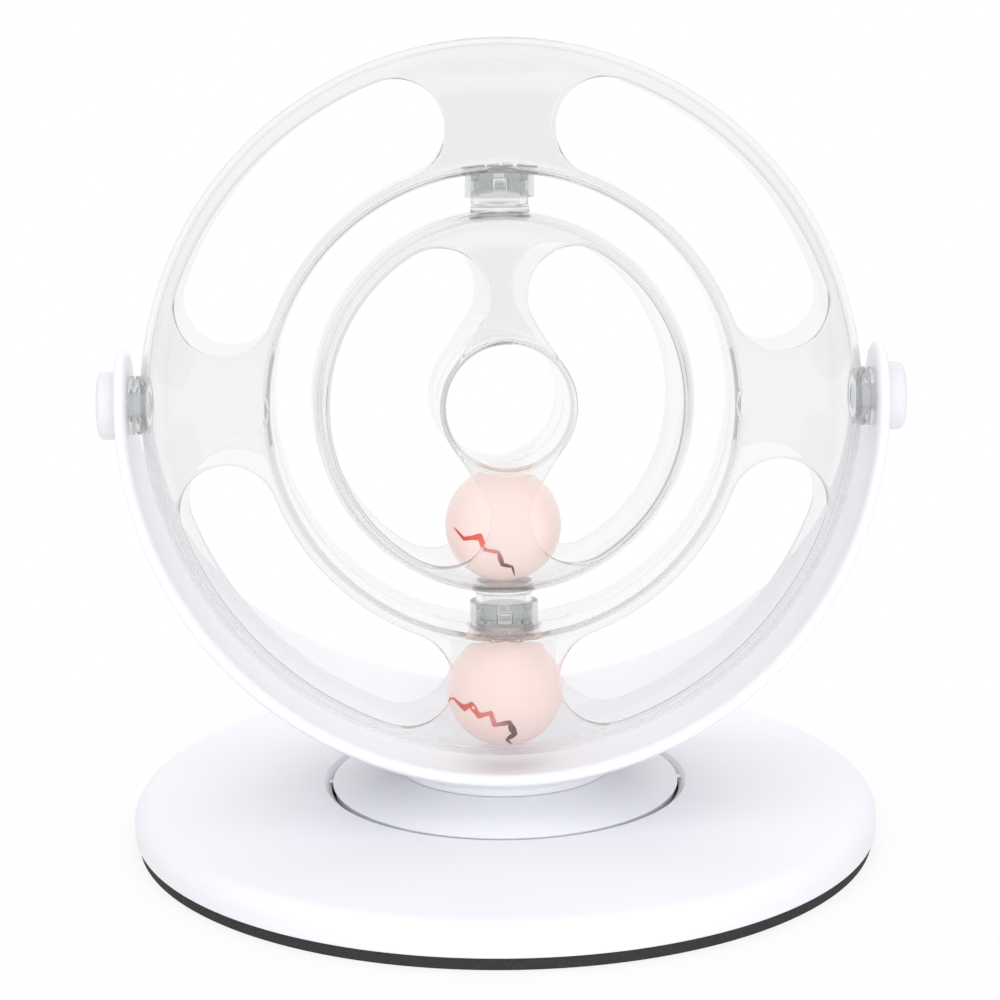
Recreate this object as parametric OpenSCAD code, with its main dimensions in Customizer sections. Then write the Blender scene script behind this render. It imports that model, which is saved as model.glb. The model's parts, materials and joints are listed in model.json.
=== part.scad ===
// Turntable cat toy: two clear ring tracks with balls, hung in a yoke on a driven round base

/* [Balls and tracks] */
// Radius of each ball
ball_r = 18.4; // [16:0.1:22]
// Wall of the hollow balls
ball_wall = 1; // [0.8:0.1:2]
// Gap between a ball and the track that it lies on
ball_gap = 0.3; // [0.2:0.05:0.5]
// Gap between a ball and the front and rear walls of its track
ball_side_gap = 0.8; // [0.4:0.1:2]
// Wall of the clear ring mouldings
ring_wall = 1.6; // [1.2:0.1:2.2]

/* [Inner ring] */
// Radius of the open hole in the middle of the inner ring
hole_r = 19.3; // [16:0.1:26]
// Inset of the inner windows from the ring's outside
inner_window_inset = 3.9; // [3:0.1:6]
// Radius of the round ends of the inner windows
inner_lobe_r = 15.4; // [13:0.1:16.5]
// Angle of the window ends from the ring's vertical line
inner_lobe_angle = 32; // [30:0.5:36]
// Radius of the inner ring's outer edge
inner_round = 12; // [4:0.5:13]
// Swivel angle at which the inner ring rests
inner_yaw = 5.5; // [0:0.5:8]

/* [Outer ring] */
// Open space between the two rings
ring_gap = 12.1; // [10.5:0.1:16]
// Extra height of the outer track over the inner one
outer_track_play = 0.7; // [0.4:0.1:3]
// Inset of the outer windows from the ring's outside
outer_window_inset = 6; // [4:0.1:8]
// Inset of the outer windows from the ring's bore
outer_window_rim = 4; // [3:0.1:6]
// Angle of the window ends from the ring's spokes
spoke_angle = 20.8; // [18:0.2:26]
// Radius of the outer ring's outer edge
outer_round = 17; // [4:0.5:18]
// Radius of the edges along a ring's bore
bore_round = 3; // [2:0.5:5]
// Backward lean at which the outer ring rests
ring_tilt = 5; // [0:0.5:8]

/* [Pivots and swivels] */
// Radius of the shafts that carry the outer ring
pivot_shaft_r = 4; // [3:0.1:5]
// Radius of the bushes in the ring's wall
pivot_bush_r = 7; // [6:0.1:8]
// Radius of the bush flanges
pivot_flange_r = 9.3; // [8.4:0.1:11]
// Radius of the inner ring's swivel pins
swivel_pin_r = 8.95; // [7:0.05:10]
// Wall of the swivel collars
swivel_wall = 1.8; // [1.6:0.1:3]
// Length of a collar below the outer ring's bore
swivel_drop = 8; // [7:0.1:9]
// Radial running clearance of every pivot
run_gap = 0.05; // [0.03:0.01:0.1]
// Clearance between faces that pass each other
pass_gap = 0.3; // [0.3:0.05:0.6]

/* [Yoke] */
// Thickness of the yoke's bowl
yoke_t = 4; // [3.5:0.1:6]
// Space between the turning ring and the yoke
yoke_gap = 4.2; // [1.8:0.1:5]
// Angle at which each side of the bowl widens downwards
yoke_half_angle = 23.8; // [20:0.2:27]
// Thickness left under the bowl at its lowest point
yoke_floor_t = 2; // [2:0.1:5]
// Radius of the round lugs
lug_r = 17.5; // [15:0.1:20]
// Radius of the pivot knobs
knob_r = 10.7; // [9:0.1:12.5]
// Height of the pivot knobs
knob_h = 5.8; // [4:0.1:8]

/* [Turntable] */
// Radius of the turntable
turntable_r = 56; // [54:0.5:64]
// Rise of the turntable's cone
turntable_rise = 6; // [5:0.1:9]
// Depth of the turntable's rim below the base's crown
turntable_drop = 0.5; // [0.2:0.1:1]
// Radius of the yoke's foot
foot_r = 35.6; // [33.5:0.1:40]
// Width of the bevel around the turntable
bevel_w = 2.3; // [1.5:0.1:4]
// Depth of the bevel around the turntable
bevel_h = 2.1; // [1.8:0.1:3]
// Open gap around the turntable
groove_gap = 0.4; // [0.3:0.1:1]

/* [Base] */
// Radius of the base
base_r = 120; // [116:1:140]
// Rise of the base from its edge to its crown
dome_rise = 2.95; // [1:0.05:4]
// Radius of the base's upper edge
edge_round = 6; // [4:0.5:7]
// Radius of the base's lower edge
foot_round = 0.6; // [0.5:0.1:2]
// Wall of the white mouldings
wall = 2.4; // [2:0.1:3]
// Thickness of the floor plate
floor_t = 2.2; // [2:0.1:3]
// Thickness of the foam pad
pad_h = 4; // [3.8:0.1:6]
// Inset of the foam pad from the base's edge
pad_inset = 1.2; // [0.8:0.1:8]

/* [Drive] */
// Module of the gears
gear_module = 1; // [0.9:0.05:1.1]
// Teeth of the turntable's gear
gear_teeth = 48; // [46:1:50]
// Teeth of the pinion
pinion_teeth = 12; // [12:1:14]
// Width of the gears
gear_h = 4; // [3:0.1:4.6]
// Height of the gearbox
gearbox_h = 5.6; // [5:0.1:6]
// Length of the motor can
motor_l = 16; // [12:0.5:18]
// Width of the motor can across its round sides
motor_w = 10; // [8:0.1:11]
// Height of the motor can across its flats
motor_h = 8; // [6:0.1:8.5]
// Radius of the spindle post
spindle_r = 4; // [3.5:0.1:5]

/* [Power] */
// Diameter of a cell
cell_d = 10.5; // [10:0.1:11.5]
// Length of a cell
cell_l = 44.5; // [40:0.5:50]
// Travel of the switch
switch_travel = 3; // [2:0.1:4]
// Radius of the leads
wire_r = 0.8; // [0.5:0.05:1]

/* [Fasteners] */
// Shank radius of the large screws
screw_r = 1.5; // [1.2:0.05:1.8]
// Head radius of the large screws
screw_head_r = 2.8; // [2.6:0.1:3.2]
// Head height of the large screws
screw_head_h = 1.6; // [1.2:0.1:1.8]
// Shank radius of the small screws
small_screw_r = 1; // [0.8:0.05:1.1]
// Head radius of the small screws
small_head_r = 1.9; // [1.7:0.1:2.2]

/* [Hidden] */
$fn = 96;
seat_gap = 0.05;
beyond = 1;

// Ring sizes, worked out from the balls outwards
track_h = 2 * ball_r + 2 * ball_gap;
half_w = ball_r + ball_side_gap + ring_wall;
tube_r = hole_r + ring_wall;
inner_r = tube_r + track_h + ring_wall;
outer_bore_r = inner_r + ring_gap;
outer_r = outer_bore_r + 2 * ring_wall + track_h + outer_track_play;
inner_track_r = inner_r - ring_wall - ball_gap - ball_r;
outer_track_r = outer_r - ring_wall - ball_gap - ball_r;
ring_reach = norm([outer_r - outer_round, half_w - outer_round]) + outer_round;
inner_window_r = inner_r - inner_window_inset;
inner_lobe_c = inner_window_r - inner_lobe_r;
outer_window_out = outer_r - outer_window_inset;
outer_window_in = outer_bore_r + outer_window_rim;
// How far the round ends of a window cross its arcs
lobe_lap = 0.02;

// Yoke and pivots, worked out from the outer ring
bowl_r = ring_reach + yoke_gap;
yoke_r = bowl_r + yoke_t;
spot_depth = 0.7;
lug_face_x = yoke_r - spot_depth;
flange_x0 = outer_r + seat_gap;
flange_x1 = sqrt(pow(bowl_r, 2) - pow(pivot_flange_r, 2)) - pass_gap;
bush_x0 = outer_r - ring_wall + seat_gap;
flange_groove_w = 0.6;
flange_groove_d = 1;
knob_round = 1.4;

// Swivels, measured along the outer ring's vertical line
socket_r = swivel_pin_r + run_gap + swivel_wall;
socket_z0 = outer_bore_r - swivel_drop;
socket_flange_z = outer_bore_r + ring_wall + seat_gap;
socket_flange_h = 0.7;
socket_flange_r = socket_r + 1.4;
pin_top_z = outer_bore_r - seat_gap;
pin_bottom_z = inner_r - ring_wall + seat_gap;
pin_lip_r = swivel_pin_r + 0.3;
pin_lip_h = 1.2;
pin_bore_r = swivel_pin_r - 2.4;
snap_z0 = socket_z0 + 2.4;
snap_h = 3.6;
snap_w = 5;
snap_bite = 0.6;

// Base and turntable heights
pad_r = base_r - pad_inset;
floor_z = pad_h;
floor_top = floor_z + floor_t;
well_r = turntable_r + groove_gap;
groove_r = well_r + bevel_w;
door_gap_z = 1;
door_t = 1.4;
cell_z = door_gap_z + door_t + seat_gap + cell_d / 2;
tray_play = 0.4;
tray_wall = 1.2;
cell_w = 2 * cell_d + 3 * tray_play;
tray_y0 = groove_r + wall + 2;
tray_y1 = tray_y0 + cell_w;
contact_t = 0.4;
tray_l = cell_l + 2 * contact_t + 4 * tray_play;
cell_reach = norm([tray_y1 - tray_play, cell_l / 2]);
dome_slope = dome_rise / (base_r - edge_round - groove_r);
crown_h = cell_z + cell_d / 2 + pass_gap + wall + dome_slope * (cell_reach - groove_r);
edge_h = crown_h - dome_rise;
lip_z = crown_h - bevel_h - wall;
rim_top = crown_h - turntable_drop;
foot_z = rim_top + turntable_rise;
cone_slope = turntable_rise / (turntable_r - foot_r);
plate_z = foot_z - wall;
rim_z = rim_top - 1.4 * wall;
pivot_z = foot_z + yoke_floor_t + bowl_r;
nib_r = 0.9;
nib_h = 0.6;

// Spindle and gear train
hub_r = spindle_r + 7;
spindle_bush_r = spindle_r + 2;
shoulder_h = 1.8;
hub_z = floor_top + shoulder_h + 2 * seat_gap;
gear_z = floor_top + gearbox_h + 0.8;
gear_add = 0.8;
gear_ded = 1.25;
gear_slack = 0.2;
pressure_angle = 20;
gear_r = gear_module * gear_teeth / 2;
pinion_r = gear_module * pinion_teeth / 2;
shaft_y = gear_r + pinion_r + 0.15;
shaft_r = 1.5;
spindle_top = gear_z + gear_h + 2;
washer_t = 1;
washer_r = spindle_bush_r + 2.5;
access_r = washer_r + 0.5;
hub_top = spindle_top - pass_gap;
gearbox_l = 18;
gearbox_w = 15;
motor_y = shaft_y + 0.5;
clamp_t = 1.2;
clamp_l = 6;
clamp_foot = 4.4;
clamp_x = gearbox_l / 2 + motor_l / 2 - clamp_l / 2;
clamp_screw_y = motor_w / 2 + seat_gap + clamp_t + clamp_foot / 2;
rib_h = 2;
rib_t = 1.2;
rib_reach = rib_t + seat_gap;
foot_screw_r = gear_r + gear_add * gear_module + screw_head_r + 0.8;

// Power parts
door_margin = 4.2;
door_l = tray_l + 2 * door_margin;
door_w = cell_w + 2 * door_margin;
door_y = (tray_y0 + tray_y1) / 2;
door_lip_t = 1.4;
door_screw_y = tray_y0 - door_margin / 2;
blind_t = 0.4;
pad_play = 1;
tray_h = 3.2;
tab_h = 2.4;
switch_l = 12;
switch_w = 6;
switch_h = 4.2;
switch_x = -(door_l / 2 + switch_l / 2 + 5);
stem_w = 3;
thumb_w = 3.6;
thumb_l = 5;
thumb_h = 2;
stem_top = floor_top + 1.6;
slot_play = 0.3;
slot_l = stem_w + switch_travel + 2 * slot_play;
slot_w = stem_w + 2 * slot_play;
lead_sides = 8;

// Screws of the floor plate
floor_screw_r = base_r - 20;
floor_screw_angle = 45;
boss_r = screw_head_r + 1.9;
boss_h = 2;
shell_boss_r = screw_r + 2.5;
head_room = 0.3;

// Colours
white = [0.95, 0.95, 0.96];
clear = [0.86, 0.89, 0.9, 0.35];
foam = [0.25, 0.25, 0.25];
pink = [0.98, 0.84, 0.81];
steel = [0.72, 0.73, 0.75];
brass = [0.8, 0.68, 0.38];
nylon = [0.88, 0.87, 0.82];
dark = [0.16, 0.16, 0.17];
cell_green = [0.25, 0.5, 0.35];

// Points of the leads, chosen by hand inside the base
left_tab = [-(cell_l / 2 + tray_play + contact_t), tray_y0 + tray_play + cell_d / 2];
right_tab = [-left_tab[0], tray_y1 - tray_play - cell_d / 2];
lead_z = floor_top + wire_r + seat_gap;
tab_z = floor_top + tray_h + 1.4;
motor_end = [gearbox_l / 2 + motor_l, motor_y];
leads = [
    [[left_tab[0] - wire_r - seat_gap, left_tab[1], tab_z], [switch_x + 8, left_tab[1], tab_z],
     [switch_x + switch_l / 2 + wire_r + seat_gap, door_y, floor_top + 2]],
    [[switch_x, door_y - switch_w / 2 - wire_r - seat_gap, lead_z], [switch_x + 6, door_y - 18, lead_z],
     [-22, shaft_y + 17, lead_z], [12, shaft_y + 17, lead_z], [32, shaft_y + 10, lead_z],
     [motor_end[0] + wire_r + seat_gap, motor_y + 2, lead_z + 2]],
    [[right_tab[0] + wire_r + seat_gap, right_tab[1], tab_z], [right_tab[0] + 9, right_tab[1] - 4, tab_z],
     [40, 52, lead_z], [36, 32, lead_z], [motor_end[0] + wire_r + seat_gap, motor_y - 2, lead_z + 2]],
];

// Points of an arc, from angle a0 to angle a1
function arc(x, y, r, a0, a1, steps = 10) =
    [for (i = [0:steps]) let (a = a0 + (a1 - a0) * i / steps) [x + r * cos(a), y + r * sin(a)]];

// Half of a rounded ring section, above the parting plane
function half_section(r0, r1, h, round0, round1) = concat(
    [[r0, -beyond]],
    arc(r0 + round0, h - round0, round0, 180, 90),
    arc(r1 - round1, h - round1, round1, 90, 0),
    [[r1, -beyond]]);

// Height of the base's dome over radius r
function dome_z(r) = crown_h - dome_slope * (r - groove_r);

// Half of the angle that a tooth spans at radius r
function involute(a) = tan(a) * 180 / PI - a;
function tooth_angle(r, teeth) =
    let (rp = gear_module * teeth / 2, rb = rp * cos(pressure_angle))
    90 / teeth - gear_slack / rp * 90 / PI + involute(pressure_angle)
        - (r > rb ? involute(acos(rb / r)) : 0);
function polar(r, a) = [r * cos(a), r * sin(a)];

module gear_outline(teeth) {
    rp = gear_module * teeth / 2;
    root = rp - gear_ded * gear_module;
    tip = rp + gear_add * gear_module;
    flank = [for (i = [0:5]) root + (tip - root) * i / 5];
    polygon([for (t = [0:teeth - 1], p = concat(
        [for (r = flank) polar(r, 360 * t / teeth - tooth_angle(r, teeth))],
        [for (i = [5:-1:0]) polar(flank[i], 360 * t / teeth + tooth_angle(flank[i], teeth))])) p]);
}

module rounded_plate(l, w, r) {
    square([l - 2 * r, w], center = true);
    square([l, w - 2 * r], center = true);
    for (x = [-1, 1], y = [-1, 1]) translate([x * (l / 2 - r), y * (w / 2 - r)]) circle(r);
}

module block(l, w, h, r = 1) {
    linear_extrude(h) rounded_plate(l, w, r);
}

module spread(r, count, start) {
    for (i = [0:count - 1]) rotate(start + 360 * i / count) translate([r, 0]) children();
}

// A screw that stands on its head, with its head's underside at z = 0
module screw(shank_r, shank_l, head_r, head_h) {
    cylinder(r = shank_r, h = shank_l);
    difference() {
        translate([0, 0, -head_h]) cylinder(r = head_r, h = head_h);
        for (a = [0, 90]) rotate(a) translate([-0.7 * head_r, -0.25, -head_h - beyond])
            cube([1.4 * head_r, 0.5, beyond + 0.5 * head_h]);
    }
}

// Places a piece of the outer ring, which leans back on its pivots
module on_outer_ring() {
    translate([0, 0, pivot_z]) rotate([-ring_tilt, 0, 0]) children();
}

// Places a piece of the inner ring, which turns in the outer ring
module on_inner_ring() {
    on_outer_ring() rotate(inner_yaw) children();
}

// Turns a flat ring upright, with its front towards -Y
module upright() {
    rotate([90, 0, 0]) children();
}

// A stretch of the hollow half of a ring in front of the parting plane, lying flat
module half_ring(r0, r1, round0, round1, span) {
    rotate_extrude(angle = span, $fn = 144) intersection() {
        difference() {
            polygon(half_section(r0, r1, half_w, round0, round1));
            translate([0, -beyond]) polygon(half_section(r0 + ring_wall, r1 - ring_wall,
                half_w - ring_wall + beyond, round0 - ring_wall / 2, round1 - ring_wall));
        }
        square([r1 + beyond, half_w + beyond]);
    }
}

// One kidney window of the outer ring, between two spokes
module outer_window() {
    lobe_r = (outer_window_out - outer_window_in) / 2;
    reach = 2 * outer_window_out;
    intersection() {
        difference() {
            circle(outer_window_out);
            circle(outer_window_in);
        }
        polygon([[0, 0], polar(reach, spoke_angle), polar(reach, 45), polar(reach, 90 - spoke_angle)]);
    }
    for (a = [spoke_angle, 90 - spoke_angle])
        translate(polar(outer_window_in + lobe_r, a)) circle(lobe_r + lobe_lap);
}

// The right-hand window of the inner ring, which closes in to the hole's tube
module inner_window() {
    spread_angle = acos((inner_lobe_r + tube_r) / inner_lobe_c);
    lobe_a = 90 - inner_lobe_angle;
    touch_a = lobe_a - spread_angle;
    lobe = polar(inner_lobe_c, lobe_a);
    upper = [polar(tube_r - lobe_lap, touch_a), lobe - polar(inner_lobe_r, touch_a), lobe,
        polar(2 * inner_window_r, lobe_a)];
    lower = [for (i = [3:-1:0]) [upper[i][0], -upper[i][1]]];
    difference() {
        intersection() {
            circle(inner_window_r);
            union() {
                polygon(concat(upper, [[2 * inner_window_r, 0]], lower));
                for (s = [-1, 1]) translate([lobe[0], s * lobe[1]]) circle(inner_lobe_r + lobe_lap);
            }
        }
        circle(tube_r);
    }
}

// A quarter of the outer ring's front half, from one spoke's middle to the next
module outer_quarter(start) {
    difference() {
        upright() rotate(start) difference() {
            half_ring(outer_bore_r, outer_r, bore_round, outer_round, 90);
            translate([0, 0, beyond]) linear_extrude(half_w) outer_window();
        }
        for (s = [-1, 1]) {
            translate([s * (outer_r - ring_wall / 2), 0, 0]) rotate([0, 90, 0])
                cylinder(r = pivot_bush_r + seat_gap, h = 6 * ring_wall, center = true);
            translate([0, 0, s * (outer_bore_r + ring_wall / 2)])
                cylinder(r = socket_r + seat_gap, h = 6 * ring_wall, center = true);
        }
    }
}

// The right-hand part of the inner ring's front half, turned about the ring's axis
module inner_side(turn) {
    difference() {
        upright() rotate(turn) difference() {
            rotate(-90) half_ring(hole_r, inner_r, bore_round, inner_round, 180);
            translate([0, 0, half_w / 2]) linear_extrude(half_w) inner_window();
        }
        for (s = [-1, 1]) translate([0, 0, s * (inner_r - ring_wall / 2)])
            cylinder(r = swivel_pin_r + seat_gap, h = 6 * ring_wall, center = true);
    }
}

// The rear half is the front half turned round the vertical line
module rear() {
    rotate(180) children();
}

module swivel_socket() {
    difference() {
        union() {
            translate([0, 0, socket_z0]) cylinder(r = socket_r, h = socket_flange_z - socket_z0);
            translate([0, 0, socket_flange_z]) cylinder(r = socket_flange_r, h = socket_flange_h);
        }
        translate([0, 0, socket_z0 - beyond])
            cylinder(r = swivel_pin_r + run_gap, h = pin_top_z + pass_gap - socket_z0 + beyond);
        translate([-snap_w / 2, -2 * socket_r, snap_z0]) cube([snap_w, 4 * socket_r, snap_h]);
    }
    // Snap tabs that stand in the windows and reach into the pin's groove
    intersection() {
        difference() {
            translate([0, 0, snap_z0]) cylinder(r = socket_r - 0.4, h = 0.7 * snap_h);
            translate([0, 0, snap_z0 - beyond]) cylinder(r = swivel_pin_r - snap_bite, h = snap_h + beyond);
        }
        translate([-0.35 * snap_w, -2 * socket_r, snap_z0]) cube([0.7 * snap_w, 4 * socket_r, snap_h]);
    }
}

module swivel_pin() {
    difference() {
        union() {
            translate([0, 0, pin_bottom_z]) cylinder(r = swivel_pin_r, h = pin_top_z - pin_bottom_z);
            translate([0, 0, inner_r + seat_gap]) cylinder(r = pin_lip_r, h = pin_lip_h);
        }
        translate([0, 0, snap_z0 - pass_gap]) difference() {
            cylinder(r = swivel_pin_r + beyond, h = 0.7 * snap_h + 2 * pass_gap);
            translate([0, 0, -beyond]) cylinder(r = swivel_pin_r - snap_bite - pass_gap, h = 2 * snap_h);
        }
        translate([0, 0, inner_r + pin_lip_h]) cylinder(r = pin_bore_r, h = swivel_drop + ring_gap);
    }
}

// The right-hand bush, with its axis on the pivot line
module pivot_bush() {
    rotate([0, 90, 0]) difference() {
        union() {
            translate([0, 0, bush_x0]) cylinder(r = pivot_bush_r, h = flange_x0 - bush_x0);
            translate([0, 0, flange_x0]) cylinder(r = pivot_flange_r, h = flange_x1 - flange_x0);
        }
        translate([0, 0, bush_x0 - beyond]) cylinder(r = pivot_shaft_r + run_gap, h = yoke_gap + 20);
        translate([0, 0, (flange_x0 + flange_x1 - flange_groove_w) / 2]) difference() {
            cylinder(r = pivot_flange_r + beyond, h = flange_groove_w);
            cylinder(r = pivot_flange_r - flange_groove_d, h = flange_groove_w);
        }
    }
}

// The right-hand knob, whose shaft goes through the lug into the bush
module pivot_knob() {
    translate([0, 0, pivot_z]) rotate([0, 90, 0]) {
        translate([0, 0, bush_x0]) cylinder(r = pivot_shaft_r, h = lug_face_x + knob_h / 2 - bush_x0);
        translate([0, 0, lug_face_x]) rotate_extrude() polygon(concat(
            [[0, 0], [knob_r, 0]],
            arc(knob_r - knob_round, knob_h - knob_round, knob_round, 0, 90, 6),
            [[0, knob_h]]));
    }
}

module hollow_ball() {
    difference() {
        sphere(ball_r);
        sphere(ball_r - ball_wall);
    }
}

module base_pad() {
    color(foam) difference() {
        cylinder(r = pad_r, h = pad_h);
        translate([0, door_y, -beyond])
            block(door_l + 2 * pad_play, door_w + 2 * pad_play, pad_h + 2 * beyond, 2);
        translate([switch_x, door_y, -beyond])
            block(thumb_l + switch_travel + 6, thumb_w + 6, pad_h + 2 * beyond, 2);
    }
}

module base_shell() {
    profile = concat(
        [[well_r, lip_z], [well_r, crown_h - bevel_h], [groove_r, crown_h]],
        arc(base_r - edge_round, edge_h - edge_round, edge_round, 90, 0),
        arc(base_r - foot_round, pad_h + foot_round, foot_round, 0, -90, 4),
        [[base_r - wall, pad_h]],
        arc(base_r - edge_round, edge_h - edge_round, edge_round - wall, 0, 90),
        [[well_r + wall, dome_z(well_r + wall) - wall], [well_r + wall, lip_z]]);
    boss_z = floor_top + boss_h + seat_gap;
    color(white) {
        rotate_extrude($fn = 144) polygon(profile);
        spread(floor_screw_r, 4, floor_screw_angle) difference() {
            translate([0, 0, boss_z])
                cylinder(r = shell_boss_r, h = dome_z(floor_screw_r) - wall / 2 - boss_z);
            translate([0, 0, boss_z - beyond])
                cylinder(r = screw_r, h = dome_z(floor_screw_r) - wall - boss_z + beyond);
        }
    }
}

module base_floor() {
    color(white) difference() {
        union() {
            translate([0, 0, floor_z]) cylinder(r = base_r - wall - pass_gap, h = floor_t);
            translate([0, 0, floor_z]) cylinder(r = spindle_bush_r + 3, h = floor_t + shoulder_h);
            translate([0, 0, floor_z]) cylinder(r = spindle_r, h = spindle_top - floor_z);
            translate([0, door_y, floor_z])
                block(tray_l + 2 * tray_wall, cell_w + 2 * tray_wall, floor_t + tray_h, tray_wall);
            translate([0, shaft_y, floor_z])
                block(gearbox_l + 2 * rib_reach, gearbox_w + 2 * rib_reach, floor_t + rib_h);
            spread(floor_screw_r, 4, floor_screw_angle) translate([0, 0, floor_z])
                cylinder(r = boss_r, h = floor_t + boss_h);
        }
        // Bay of the cells, and the pocket of the gearbox with its motor
        translate([-tray_l / 2, tray_y0, floor_z - beyond]) cube([tray_l, cell_w, 3 * tray_h + floor_t]);
        translate([-gearbox_l / 2 - seat_gap, shaft_y - gearbox_w / 2 - seat_gap, floor_top])
            cube([gearbox_l + 2 * seat_gap, gearbox_w + 2 * seat_gap, 2 * rib_h]);
        translate([0, motor_y - motor_w / 2 - seat_gap, floor_top])
            cube([gearbox_l + motor_l, motor_w + 2 * seat_gap, 2 * rib_h]);
        // Slot of the switch
        translate([switch_x, door_y, floor_z - beyond])
            block(slot_l, slot_w, floor_t + 2 * beyond, slot_play);
        // Holes of the screws
        spread(floor_screw_r, 4, floor_screw_angle) {
            translate([0, 0, floor_z - beyond])
                cylinder(r = screw_head_r + head_room, h = screw_head_h + beyond + head_room);
            translate([0, 0, floor_z]) cylinder(r = screw_r + seat_gap, h = 3 * boss_h + floor_t);
        }
        translate([0, 0, floor_top]) cylinder(r = screw_r, h = spindle_top);
        translate([0, door_screw_y, floor_z - beyond])
            cylinder(r = small_screw_r, h = floor_t + beyond - blind_t);
        translate([0, 0, -floor_t + blind_t])
            clamp_holes() cylinder(r = small_screw_r, h = floor_t + beyond);
    }
}

module floor_screws() {
    color(steel) spread(floor_screw_r, 4, floor_screw_angle)
        translate([0, 0, floor_z + screw_head_h + head_room])
            screw(screw_r - seat_gap, dome_z(floor_screw_r) - wall - floor_z - screw_head_h - 2 * head_room,
                screw_head_r, screw_head_h);
}

module battery_cells() {
    button_l = 1;
    color(cell_green) for (s = [-1, 1])
        translate([0, door_y + s * (cell_d + tray_play) / 2, cell_z]) rotate([0, 90 * s, 0]) {
            translate([0, 0, -cell_l / 2]) cylinder(r = cell_d / 2, h = cell_l - button_l);
            translate([0, 0, cell_l / 2 - button_l]) cylinder(r = cell_d / 5, h = button_l);
        }
}

module battery_contacts() {
    span = cell_d - 2;
    color(brass) for (s = [-1, 1]) {
        // A bridge across both cells on one end, two plates on the other
        if (s > 0) contact_plate(s, door_y, cell_w - 2);
        else for (k = [-1, 1]) contact_plate(s, door_y + k * (cell_d + tray_play) / 2, span);
    }
}

module contact_plate(side, y, w) {
    x = side * (cell_l / 2 + tray_play);
    translate([side > 0 ? x : x - contact_t, y - w / 2, cell_z - cell_d / 3])
        cube([contact_t, w, floor_top + tray_h + tab_h - cell_z + cell_d / 3]);
}

module battery_door() {
    color(white) translate([0, door_y, 0]) difference() {
        translate([0, 0, door_gap_z]) block(door_l, door_w, floor_z - seat_gap - door_gap_z, 2);
        translate([0, 0, door_gap_z + door_t])
            block(door_l - 2 * door_lip_t, door_w - 2 * door_lip_t, pad_h, 1);
        translate([0, door_screw_y - door_y, 0]) cylinder(r = small_screw_r + seat_gap, h = pad_h);
        for (i = [-2:2]) translate([i * 3 - 0.5, door_w / 2 - 6, 0]) cube([1, 4, door_gap_z + 0.4]);
    }
}

module door_screw() {
    color(steel) translate([0, door_screw_y, door_gap_z - seat_gap])
        screw(small_screw_r - seat_gap, floor_top - door_gap_z - 2 * blind_t, small_head_r, door_gap_z / 2);
}

module switch_body() {
    color(dark) translate([switch_x, door_y, floor_top]) difference() {
        block(switch_l, switch_w, switch_h, 0.6);
        translate([0, 0, -beyond])
            block(slot_l, slot_w, stem_top - floor_top + pass_gap + beyond, slot_play);
    }
}

module switch_slider() {
    color(dark) translate([switch_x - switch_travel / 2, door_y, 0]) {
        translate([0, 0, floor_z - thumb_h - pass_gap]) block(thumb_l, thumb_w, thumb_h, 0.6);
        translate([0, 0, floor_z - thumb_h]) block(stem_w, stem_w, stem_top - floor_z + thumb_h, 0.2);
    }
}

// Directions of a lead at each of its points, and the ring of points around one of them
function unit(v) = v / norm(v);
function heading(points, i) =
    unit(points[min(i + 1, len(points) - 1)] - points[max(i - 1, 0)]);
function lead_ring(point, along) =
    let (side = unit(cross(along, [0, 0, 1])), up = cross(side, along))
    [for (k = [0:lead_sides - 1]) let (a = 360 * k / lead_sides)
        point + wire_r * (cos(a) * side + sin(a) * up)];

// A lead swept along its points
module lead(points) {
    n = len(points);
    m = lead_sides;
    polyhedron(
        points = [for (i = [0:n - 1], p = lead_ring(points[i], heading(points, i))) p],
        faces = concat(
            [for (i = [0:n - 2], k = [0:m - 1], f = [
                [i * m + k, (i + 1) * m + k, i * m + (k + 1) % m],
                [i * m + (k + 1) % m, (i + 1) * m + k, (i + 1) * m + (k + 1) % m]]) f],
            [[for (k = [0:m - 1]) k], [for (k = [m - 1:-1:0]) (n - 1) * m + k]]));
}

module wire_harness() {
    color(dark) for (points = leads) lead(points);
}

module gearbox_case() {
    color(nylon) difference() {
        translate([0, shaft_y, floor_top]) block(gearbox_l, gearbox_w, gearbox_h);
        translate([0, shaft_y, floor_top + gearbox_h / 3]) cylinder(r = shaft_r + run_gap, h = gearbox_h);
    }
}

module motor_can() {
    color(steel) translate([gearbox_l / 2, motor_y, floor_top + motor_h / 2]) intersection() {
        rotate([0, 90, 0]) cylinder(r = motor_w / 2, h = motor_l);
        translate([0, -motor_w / 2, -motor_h / 2]) cube([motor_l, motor_w, motor_h]);
    }
}

module clamp_holes() {
    for (s = [-1, 1])
        translate([clamp_x + clamp_l / 2, motor_y + s * clamp_screw_y, floor_top]) children();
}

module motor_clamp() {
    side_y = motor_w / 2 + seat_gap;
    top_z = motor_h + seat_gap;
    color(steel) difference() {
        translate([clamp_x, motor_y, floor_top]) difference() {
            union() {
                translate([0, -side_y - clamp_t, 0])
                    cube([clamp_l, 2 * (side_y + clamp_t), top_z + clamp_t]);
                translate([0, -side_y - clamp_t - clamp_foot, 0])
                    cube([clamp_l, 2 * (side_y + clamp_t + clamp_foot), clamp_t]);
            }
            translate([-beyond, -side_y, -beyond]) cube([clamp_l + 2 * beyond, 2 * side_y, top_z + beyond]);
        }
        translate([0, 0, -beyond])
            clamp_holes() cylinder(r = small_screw_r + seat_gap, h = clamp_t + 2 * beyond);
    }
}

module clamp_screws() {
    color(steel) translate([0, 0, clamp_t]) clamp_holes() mirror([0, 0, 1])
        screw(small_screw_r - seat_gap, clamp_t + floor_t - 2 * blind_t, small_head_r, small_head_r / 2);
}

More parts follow.
